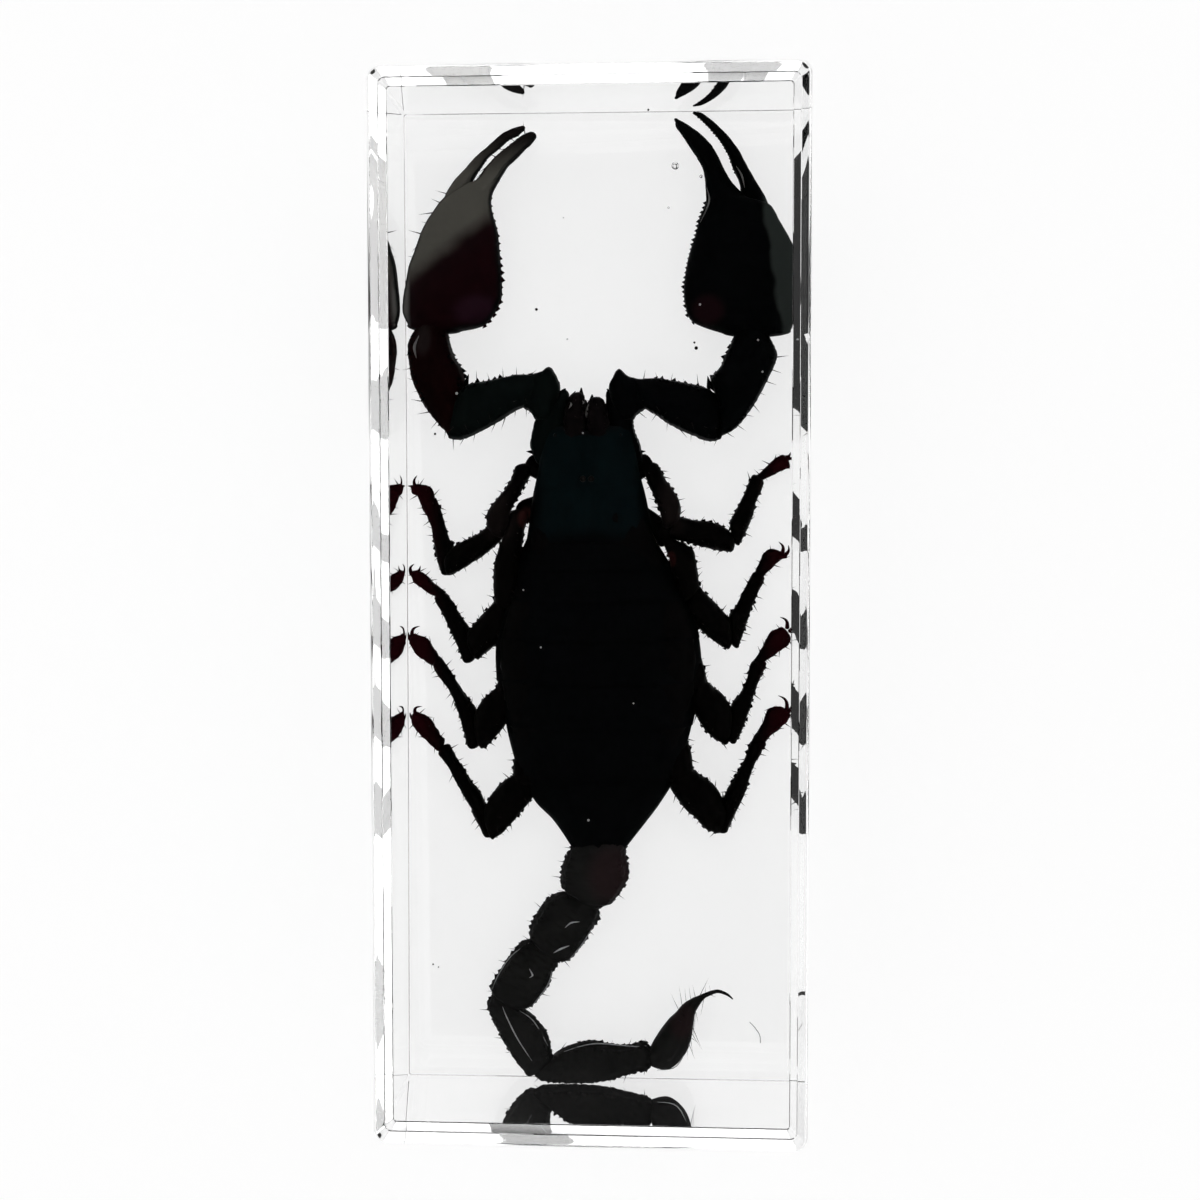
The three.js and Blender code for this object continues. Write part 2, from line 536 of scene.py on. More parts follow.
SKIN_FLOOR = 1.4
SKIN_INSET = 0.5
SKIN_SLACK = 0.35
SKIN_UNDER_PLATES = 0.45
body_ribs = []
for y, left, right, crown in ABDOMEN[1:]:
    half = (crown - SKIN_FLOOR) / 2 - SKIN_SLACK
    body_ribs.append((left + SKIN_INSET, y, right - SKIN_INSET, y, crown - SKIN_UNDER_PLATES - half, half))
body_ribs.insert(0, (-6.6, 12.0, 4.4, 12.0, 4.9, 2.9))
body_ribs.insert(0, (-5.2, 17.6, 2.8, 17.6, 4.7, 1.9))
SKIN_DULL = (0.0007, 0.0007, 0.0007, 1)
SKIN_PALE = (0.0024, 0.0022, 0.0021, 1)
body_skin = cuticle_finish("body_skin", SKIN_DULL, SKIN_PALE,
                           grain_scale=1300.0, grain_depth=1.0, mottle_scale=500.0)
body_shell = limb_shell(body_ribs, per_gap=6, around=48, square=2.2, ends=(0.4, 0.5), roughness=0.12)
make_piece("body_skin", [body_shell], body_skin)


def belly_relief(side, along):
    slit = 0.14 * math.exp(-((abs(side) - 0.55) / 0.10) ** 2 - ((along - 0.45) / 0.06) ** 2)
    return 0.0, -slit


BELLY_BREAKS = (-1.2, -5.0, -9.4, -14.2, -19.4, -26.8)
BELLY_EDGE = 3.6
BELLY_LOW = 1.0
BELLY_SHARE = 0.86
BELLY_ROWS = 12
FIRST_BELLY_PLATE = 3
for number in range(len(BELLY_BREAKS) - 1):
    rows = []
    for step in range(BELLY_ROWS + 1):
        y = BELLY_BREAKS[number] + (BELLY_BREAKS[number + 1] - BELLY_BREAKS[number]) * step / BELLY_ROWS
        left, right, crown = abdomen_at(y)
        rows.append((y, left * BELLY_SHARE, right * BELLY_SHARE, -BELLY_EDGE, -BELLY_LOW))
    # an arch turned over: its heights change sign, and its faces are reversed to point out again
    points, faces = arched_plate(rows, belly_relief)
    points = [Vector((point.x, point.y, -point.z)) for point in points]
    faces = [tuple(reversed(face)) for face in faces]
    make_piece("belly_plate_%d" % (number + FIRST_BELLY_PLATE), [(points, faces)],
               abdomen_cuticle, PLATE_CREASE)


def beam_ribs(rows):
    """Ribs square to a middle line. Rows are (x, y, middle height, half width, half thickness)."""
    ribs = []
    for i, (x, y, height, wide, half) in enumerate(rows):
        before = rows[max(i - 1, 0)]
        after = rows[min(i + 1, len(rows) - 1)]
        way = Vector((after[0] - before[0], after[1] - before[1], 0)).normalized()
        side = Vector((-way.y, way.x, 0)) * wide
        ribs.append((x + side.x, y + side.y, x - side.x, y - side.y, height, half))
    return ribs


BODY_MIDDLE = -0.9
COMB_TEETH = 14
breastplate = beam_ribs([(BODY_MIDDLE, 13.5, 1.9, 1.2, 0.6), (BODY_MIDDLE, 10.5, 1.8, 1.7, 0.7),
                         (BODY_MIDDLE, 8.2, 1.8, 1.9, 0.6)])
gill_lid = beam_ribs([(BODY_MIDDLE + 0.3, 7.4, 1.8, 1.9, 0.5), (BODY_MIDDLE + 0.3, 5.6, 1.8, 1.6, 0.5)])
make_piece("breastplate", [limb_shell(breastplate), limb_shell(gill_lid)], abdomen_cuticle)
for side, label in ((-1, "left"), (1, "right")):
    comb = [limb_shell(beam_ribs([(BODY_MIDDLE + side * 1.4, 4.6, 1.7, 0.7, 0.35),
                                  (BODY_MIDDLE + side * 3.6, 3.0, 1.6, 0.7, 0.35),
                                  (BODY_MIDDLE + side * 6.2, -0.4, 1.6, 0.45, 0.3)]))]
    for tooth in range(COMB_TEETH):
        part = tooth / (COMB_TEETH - 1)
        x = BODY_MIDDLE + side * (1.8 + 4.2 * part)
        y = 3.7 - 3.7 * part ** 1.3
        comb_tooth = beam_ribs([(x, y, 1.5, 0.17, 0.2), (x - side * 0.25, y - 1.3, 1.5, 0.16, 0.2)])
        comb.append(limb_shell(comb_tooth, per_gap=3, around=10))
    make_piece("comb_" + label, comb, body_skin)

# ---------------------------------------------------------------- jaws
# Two stout jaws side by side under the front of the carapace, each a block of cuticle that ends in
# a short fixed finger and a hinged one. Four lobes of the arms' and legs' roots close the mouth below.

JAW_BROWN = (0.0008, 0.0008, 0.0009, 1)
JAW_RED = (0.0062, 0.0042, 0.0044, 1)
jaw_cuticle = cuticle_finish("jaw_cuticle", JAW_BROWN, JAW_RED,
                             grain_scale=1500.0, grain_depth=0.4, mottle_scale=420.0)
JAWS = {
    "left": ([(-3.8, 18.4, -1.5, 18.4, 5.9, 1.5), (-3.9, 20, -1.4, 20, 6, 1.8),
              (-3.7, 21.6, -1.4, 21.7, 5.9, 1.8), (-3.3, 22.7, -1.6, 22.8, 5.6, 1.4)],
             [(-2.5, 22.6, -1.5, 22.6, 5.4, 0.7), (-2.3, 23.4, -1.7, 23.3, 5.2, 0.5),
              (-2.1, 24.1, -1.9, 24, 5, 0.2)],
             [(-3.6, 22.3, -2.7, 22.4, 4.9, 0.7), (-3.4, 23.2, -2.8, 23.3, 4.5, 0.5),
              (-2.9, 23.7, -2.7, 23.8, 4.2, 0.2)]),
    "right": ([(-1.4, 18.4, 0.9, 18.4, 5.9, 1.5), (-1.3, 20, 1.1, 20, 6, 1.8),
               (-1.3, 21.4, 1, 21.4, 5.9, 1.8), (-1.1, 22.3, 0.7, 22.2, 5.6, 1.4)],
              [(-1.2, 22, -0.3, 22.1, 5.4, 0.7), (-1.1, 22.8, -0.5, 22.8, 5.2, 0.5),
               (-0.9, 23.3, -0.7, 23.3, 5, 0.2)],
              [(-0.1, 21.9, 0.8, 21.8, 4.9, 0.7), (0, 22.7, 0.6, 22.6, 4.5, 0.5),
               (-0.1, 23.1, 0.1, 23.1, 4.2, 0.2)]),
}
for label, (block, fixed, hinged) in JAWS.items():
    make_piece("jaw_" + label, [limb_shell(block, square=2.8, roughness=0.22), limb_shell(fixed, around=16)],
               jaw_cuticle)
    make_piece("jaw_finger_" + label, [limb_shell(hinged, around=16)], jaw_cuticle)

JAW_MIDDLE = -1.4
mouth_lobes = []
for side in (-1, 1):
    mouth_lobes.append(limb_shell(beam_ribs([(JAW_MIDDLE + side * 0.7, 14.0, 2.2, 0.8, 0.7),
                                             (JAW_MIDDLE + side * 0.8, 17.8, 2.7, 0.9, 0.9),
                                             (JAW_MIDDLE + side * 0.7, 20.8, 3.1, 0.8, 0.8),
                                             (JAW_MIDDLE + side * 0.5, 22.6, 3.3, 0.5, 0.5)]), around=20))
    mouth_lobes.append(limb_shell(beam_ribs([(JAW_MIDDLE + side * 2.2, 15.0, 2.3, 0.9, 0.8),
                                             (JAW_MIDDLE + side * 2.4, 18.6, 2.8, 1.0, 0.9),
                                             (JAW_MIDDLE + side * 2.0, 21.4, 3.2, 0.8, 0.8)]), around=20))
make_piece("mouth_lobes", mouth_lobes, jaw_cuticle)

# ---------------------------------------------------------------- pincer arms
# Each arm is coxa, trochanter, thigh, elbow piece and a swollen hand with one fixed and one hinged
# finger. The left hand is raised and carries a painted grey reflection towards its fingers; the right
# one lies lower, with painted grey-green light on its outer side. Both hands have painted shade along
# their margins.

ARM_DARK = (0.0010, 0.0022, 0.0022, 1)
ARM_OLIVE = (0.0034, 0.0055, 0.0048, 1)
ELBOW_DARK = (0.0016, 0.0006, 0.0006, 1)
ELBOW_RED = (0.0075, 0.0012, 0.0012, 1)
arm_cuticle = cuticle_finish("arm_cuticle", ARM_DARK, ARM_OLIVE, grain_scale=1500.0, grain_depth=1.0)
elbow_cuticle = cuticle_finish("elbow_cuticle", ELBOW_DARK, ELBOW_RED, grain_scale=1500.0, grain_depth=0.8)
black_arm = cuticle_finish("black_arm_cuticle", BLACK_CUTICLE, BLACK_SHEEN,
                           grain_scale=1500.0, grain_depth=1.0)

ARMS = {
    "coxa_left": [
        (-7.3, 16, -3.5, 15.6, 3.6, 1.9), (-7.8, 17.8, -3.4, 17.6, 3.9, 2.1),
        (-7.5, 19.4, -3.3, 19.6, 4.1, 2.2), (-7.1, 20.8, -3.4, 21.8, 4.3, 2.2),
        (-6.3, 21.8, -3.5, 23.4, 4.4, 1.7), (-5.3, 23, -3.8, 24, 4.4, 1),
    ],
    "trochanter_left": [
        (-8.4, 21.9, -7.6, 25.6, 5.6, 2.2), (-7.7, 21.5, -6.5, 25.9, 5.5, 2.5),
        (-7.1, 20.6, -5.5, 26.4, 5.3, 2.6), (-6.3, 20.4, -4.6, 25, 5.1, 2.3),
    ],
    "thigh_left": [
        (-16.7, 18.5, -15.2, 24.1, 6, 2), (-15.2, 18.5, -14.3, 24.6, 6.1, 2.7),
        (-13.1, 19.4, -12.7, 24.8, 6.1, 2.9), (-11.1, 20.5, -10.9, 25.2, 6, 2.9),
        (-9.4, 21.6, -9.2, 25.5, 5.9, 2.8), (-7.9, 22.2, -7.4, 25.5, 5.8, 2.5),
    ],
    "elbow_left": [
        (-20.6, 31, -17.3, 31.2, 4.2, 2), (-21.4, 29.6, -17, 29.6, 4.4, 2.5),
        (-21.6, 28.3, -16.7, 28.6, 4.5, 2.8), (-21.4, 26.9, -16.3, 27.5, 4.7, 2.9),
        (-21.1, 25.2, -15.5, 26.2, 4.9, 3), (-20.3, 23.4, -15.2, 24.9, 5.1, 3),
        (-19.4, 21.8, -15.4, 23.1, 5.2, 2.9), (-18.1, 20.2, -15.5, 21.4, 5.4, 2.6),
        (-17, 19.1, -16, 20.6, 5.6, 2.1),
    ],
    "hand_left": [
        (-21.7, 31.4, -15.6, 30.6, 4.1, 1.9), (-22.2, 32.6, -12.8, 31.4, 4.1, 2.8),
        (-22.2, 34.1, -11.2, 33.9, 4.1, 3.3), (-21.9, 35.8, -11, 35.8, 4.1, 3.5),
        (-21.5, 37.9, -11.1, 37.6, 4, 3.5), (-20.7, 40, -11.3, 40.2, 4, 3.2),
        (-20, 41.9, -11.5, 41.9, 4, 2.8), (-19, 43.6, -12.1, 44.2, 4, 2.4),
        (-17.5, 45.5, -12.1, 45.7, 4, 2.1), (-15.5, 46.8, -11.6, 46.8, 4, 1.8),
        (-13.9, 47.4, -11, 47.8, 4, 1.5), (-12.8, 48.8, -10.3, 48.9, 4, 1.3),
        (-11.5, 50.2, -9.2, 49.9, 3.9, 1.1), (-10.1, 51.3, -8.2, 50.9, 3.9, 0.9),
        (-8.6, 52.4, -7.6, 51.4, 3.9, 0.8), (-7.9, 52.7, -7.2, 51.9, 3.9, 0.6),
    ],
    "hinged_finger_left": [
        (-17.8, 44.3, -14.8, 44.9, 4, 1.5), (-17.3, 45.9, -14.3, 47, 4, 1.5),
        (-16.3, 47.4, -14, 47.8, 4, 1.4), (-15.2, 48.6, -13.3, 48.8, 4, 1.1),
        (-13.9, 50, -12.5, 49.9, 4, 1), (-12.3, 51.4, -11.3, 50.9, 3.9, 0.8),
        (-10.9, 52.6, -10.1, 51.9, 3.9, 0.7), (-9.6, 53.2, -9.2, 52.3, 3.9, 0.7),
        (-8.8, 53.4, -8.6, 52.8, 3.9, 0.55),
    ],
    "coxa_right": [
        (4.9, 15.9, 1.3, 15.6, 3.6, 1.9), (4.5, 17.8, 1.1, 17.6, 3.9, 2.1),
        (3.9, 19.4, 0.9, 19.6, 4.1, 2.2), (3.7, 20.8, 0.8, 21.8, 4.3, 2.2),
        (3.1, 21.8, 0.8, 23.2, 4.4, 1.7), (2.1, 23.1, 0.9, 23.9, 4.4, 1),
    ],
    "trochanter_right": [
        (5.1, 21.7, 4.2, 25.1, 5.6, 2.2), (4.4, 21.3, 3.2, 25.4, 5.5, 2.5),
        (3.8, 20.6, 2.2, 26.2, 5.3, 2.6), (3.1, 20.4, 1.3, 24.8, 5.1, 2.3),
    ],
    "thigh_right": [
        (13.4, 18.3, 12.7, 23.6, 5.8, 2), (12.2, 18.2, 11.7, 24.1, 5.9, 2.7),
        (10.1, 19, 10, 24.5, 5.9, 2.9), (8, 20, 8.3, 24.8, 5.9, 2.9), (6.4, 21.1, 6.7, 25.1, 5.8, 2.8),
        (4.9, 22, 4.6, 25, 5.7, 2.5),
    ],
    "elbow_right": [
        (18.8, 30.1, 15.4, 30.5, 4.4, 1.9), (19.5, 28.8, 14.8, 29, 4.5, 2.5),
        (19.8, 27.9, 14.2, 27.8, 4.7, 2.8), (19.6, 26.8, 13.6, 26.4, 4.8, 2.9),
        (18.9, 25.2, 12.6, 25.2, 5, 3), (17.9, 23.3, 12.8, 24.1, 5.2, 3),
        (16.8, 21.5, 13.3, 22.6, 5.3, 2.9), (15.3, 19.7, 13.4, 21, 5.5, 2.6),
        (13.8, 18.8, 13.6, 19.7, 5.6, 2.1),
    ],
    "hand_right": [
        (21.4, 30.5, 13.8, 30.2, 4.2, 1.9), (21.9, 31.7, 10.5, 31.5, 4.1, 2.8),
        (22.1, 33.2, 9.6, 33.5, 4.1, 3.3), (22.1, 35, 9.5, 35.3, 4, 3.4), (22.1, 37, 9.7, 37.1, 4, 3.4),
        (22, 38.9, 10.1, 39.1, 3.9, 3.2), (21.5, 40.3, 10.7, 41, 3.9, 2.9),
        (20.2, 42.6, 11.2, 43, 3.8, 2.5), (19, 44.5, 11.9, 44.7, 3.8, 2.1),
        (16.8, 45.2, 11.9, 45.9, 3.7, 1.8), (15.2, 46.6, 11.8, 47.5, 3.6, 1.5),
        (14.2, 48, 11.5, 48.7, 3.6, 1.4), (13.4, 49.7, 10.9, 49.8, 3.5, 1.2),
        (12.5, 51.2, 10.1, 51, 3.5, 1.1), (11.2, 52.5, 9.3, 52.2, 3.4, 0.9),
        (9.8, 53.5, 8.6, 53.2, 3.4, 0.7), (8.9, 54, 8.5, 53.8, 3.3, 0.5),
    ],
    "hinged_finger_right": [
        (19.2, 43.4, 15.9, 43.7, 3.6, 1.6), (18.7, 45.1, 15.8, 45.4, 3.4, 1.6),
        (17.6, 47, 15.7, 46.9, 3.2, 1.4), (16.5, 49, 15, 48.5, 3, 1.1), (15.5, 50.8, 14.3, 50.4, 2.8, 1),
        (14.3, 52.4, 13.3, 52, 2.6, 0.8), (12.9, 53.8, 12.1, 53.4, 2.4, 0.7),
        (11.5, 54.9, 11.1, 54.4, 2.2, 0.5), (10.7, 55.1, 10.6, 54.8, 2, 0.3),
    ],
}


def tint_over(finish, mask, tint):
    """Lays a tint over a finish where the mask is 1."""
    base = finish.node_tree.nodes["Principled BSDF"].inputs["Base Color"]
    under = base.links[0].from_socket
    blend = add_node(finish.node_tree, "ShaderNodeMix", {"Factor": mask, "A": under, "B": tint},
                     data_type="RGBA")
    finish.node_tree.links.new(blend.outputs["Result"], base)


def soft_step(tree, value, low, high):
    """Passes softly from 0 at low to 1 at high."""
    return add_node(tree, "ShaderNodeMapRange", {"From Min": low, "From Max": high, "Value": value},
                    interpolation_type="SMOOTHSTEP").outputs["Result"]


def add_edge_shade(finish, level, softness, shade_colour):
    """Paints shade on a finish where its surface turns down towards the margin of a flat limb, as a dark
    outline.
    """
    tree = finish.node_tree
    surface = tree.nodes.new("ShaderNodeNewGeometry")
    apart = add_node(tree, "ShaderNodeSeparateXYZ", {0: surface.outputs["Normal"]})
    turned = add_node(tree, "ShaderNodeMapRange", {
        "From Min": level - softness, "From Max": level + softness, "To Min": 1.0, "To Max": 0.0,
        "Value": apart.outputs["Z"]})
    tint_over(finish, turned.outputs["Result"], shade_colour)


def claw_finish(name, bulb_deep, bulb_raised, painted_reflection, way, edge, softness, tip_from=None):
    """Cuticle whose colour passes into a painted grey reflection beyond a line across the piece."""
    made = cuticle_finish(name, bulb_deep, bulb_raised, grain_scale=1300.0, grain_depth=1.0)
    tree = made.node_tree
    place = tree.nodes.new("ShaderNodeTexCoord").outputs["Object"]
    along = add_node(tree, "ShaderNodeVectorMath", {0: place, 1: way}, operation="DOT_PRODUCT")
    wander = add_node(tree, "ShaderNodeTexNoise", {"Scale": WAVER_SCALE, "Vector": place})
    waver = add_node(tree, "ShaderNodeMath", {
        0: wander.outputs["Fac"], 1: 2 * WAVER_MM * MM, 2: along.outputs["Value"]}, operation="MULTIPLY_ADD")
    low = (edge + WAVER_MM - softness) * MM
    high = (edge + WAVER_MM + softness) * MM
    # painted reflection: a grey laid over the cuticle beyond the line, standing in for light on the surface
    tint_over(made, soft_step(tree, waver.outputs[0], low, high), painted_reflection)
    if tip_from:
        apart = add_node(tree, "ShaderNodeSeparateXYZ", {0: place})
        tips = soft_step(tree, apart.outputs["Y"], tip_from * MM, (tip_from + TIP_FADE) * MM)
        tint_over(made, tips, TIP_DARK)
    return made


WAVER_SCALE = 220.0
WAVER_MM = 1.0
TIP_FADE = 6.0
CLAW_REFLECTION_GREY = (0.084, 0.080, 0.069, 1)
LIT_MARGIN_GREY = (0.080, 0.078, 0.073, 1)
BULB_PLUM = (0.014, 0.0045, 0.0085, 1)
CLAW_SIDE_LIGHT_GREY = (0.020, 0.024, 0.022, 1)
TIP_DARK = (0.0045, 0.0030, 0.0028, 1)
HAND_PLUM = (0.009, 0.0030, 0.0042, 1)
ELBOW_ROSE = (0.012, 0.0080, 0.0080, 1)
MAROON_DEEP = (0.0030, 0.0006, 0.0010, 1)
MAROON_RAISED = (0.011, 0.0018, 0.0030, 1)
# painted light: a grey reflection over the left hand towards its fingers, and the lit outer side of the
# right hand
left_claw_cuticle = claw_finish("left_claw_cuticle", MAROON_DEEP, MAROON_RAISED, CLAW_REFLECTION_GREY,
                                way=(-0.6, 0.8, 0.0), edge=42.0, softness=1.4, tip_from=46.6)
right_claw_cuticle = claw_finish("right_claw_cuticle", BLACK_CUTICLE, BLACK_SHEEN, CLAW_SIDE_LIGHT_GREY,
                                 way=(1.0, 0.11, 0.0), edge=23.4, softness=0.35)
# painted highlight: a paler strip along the left hand's outer margin, where its side faces the light
add_patch(left_claw_cuticle, (-21.9, 34.5, 4.6), (1.1, 6.0, 3.6), LIT_MARGIN_GREY)
add_patch(left_claw_cuticle, (-13.6, 32.6, 6.5), (3.4, 2.4, 4.0), BULB_PLUM)
add_patch(right_claw_cuticle, (12.2, 32.6, 6.5), (2.4, 2.2, 4.0), HAND_PLUM)
# painted shade: both hands darken where their surface turns away from the top, as a dark outline
add_edge_shade(left_claw_cuticle, level=0.46, softness=0.14, shade_colour=BLACK_CUTICLE)
add_edge_shade(right_claw_cuticle, level=0.20, softness=0.12, shade_colour=BLACK_CUTICLE)
add_patch(elbow_cuticle, (-19.6, 29.5, 6.5), (1.2, 2.6, 4.0), ELBOW_ROSE)
HAND_KEELS = ((60, 12, 0.16), (118, 12, 0.16), (90, 10, 0.10))
THIGH_KEELS = ((35, 12, 0.22), (145, 12, 0.22), (180, 10, 0.12), (0, 10, 0.10))
for label, ribs in ARMS.items():
    left = label.endswith("left")
    if label.startswith("hand") or label.startswith("hinged"):
        finish = left_claw_cuticle if left else right_claw_cuticle
        keels = HAND_KEELS if label.startswith("hand") else ()
        shell = limb_shell(ribs, per_gap=6, around=48, square=2.4, ends=(0.5, 0.8), keels=keels,
                           roughness=0.05, beads=0.4)
    elif label.startswith("elbow"):
        finish = elbow_cuticle if left else black_arm
        shell = limb_shell(ribs, per_gap=6, around=40, square=2.4, ends=(0.5, 0.5), keels=THIGH_KEELS,
                           roughness=0.06, beads=0.5)
    else:
        finish = arm_cuticle if left else black_arm
        shell = limb_shell(ribs, per_gap=6, around=40, square=2.5, ends=(0.4, 0.4), keels=THIGH_KEELS,
                           roughness=0.08, beads=0.7)
    make_piece(label, [shell], finish)

# ---------------------------------------------------------------- walking legs
# Four jointed legs a side, spread flat: coxa, thigh, knee piece, shin, foot and two hooked claws, in
# dark brown cuticle. The feet are thin enough for the light to show maroon.

LEG_DARK = (0.0008, 0.0007, 0.0006, 1)
LEG_OLIVE = (0.0020, 0.0016, 0.0014, 1)
FOOT_MAROON = (0.014, 0.0012, 0.0024, 1)
FOOT_FROM = 17.5 * MM
FOOT_FULL = 21.0 * MM
leg_cuticle = cuticle_finish("leg_cuticle", LEG_DARK, LEG_OLIVE, grain_scale=1700.0, grain_depth=0.8)
leg_tree = leg_cuticle.node_tree
leg_place = leg_tree.nodes.new("ShaderNodeTexCoord").outputs["Object"]
leg_apart = add_node(leg_tree, "ShaderNodeSeparateXYZ", {0: leg_place})
far_out = add_node(leg_tree, "ShaderNodeMath", {0: leg_apart.outputs["X"]}, operation="ABSOLUTE")
tint_over(leg_cuticle, soft_step(leg_tree, far_out.outputs[0], FOOT_FROM, FOOT_FULL), FOOT_MAROON)
LEG_BROWN = (0.0066, 0.0048, 0.0046, 1)
ROOT_RED = (0.0240, 0.0070, 0.0065, 1)
add_patch(leg_cuticle, (-11.2, 9.4, 5.5), (2.6, 4.0, 4.0), LEG_BROWN)
add_patch(leg_cuticle, (8.3, 11.0, 5.5), (2.4, 4.6, 4.0), LEG_BROWN)
add_patch(leg_cuticle, (-8.3, 9.5, 5.0), (1.2, 1.6, 3.0), ROOT_RED)
add_patch(leg_cuticle, (8.1, 4.9, 5.5), (0.8, 1.2, 3.0), ROOT_RED)
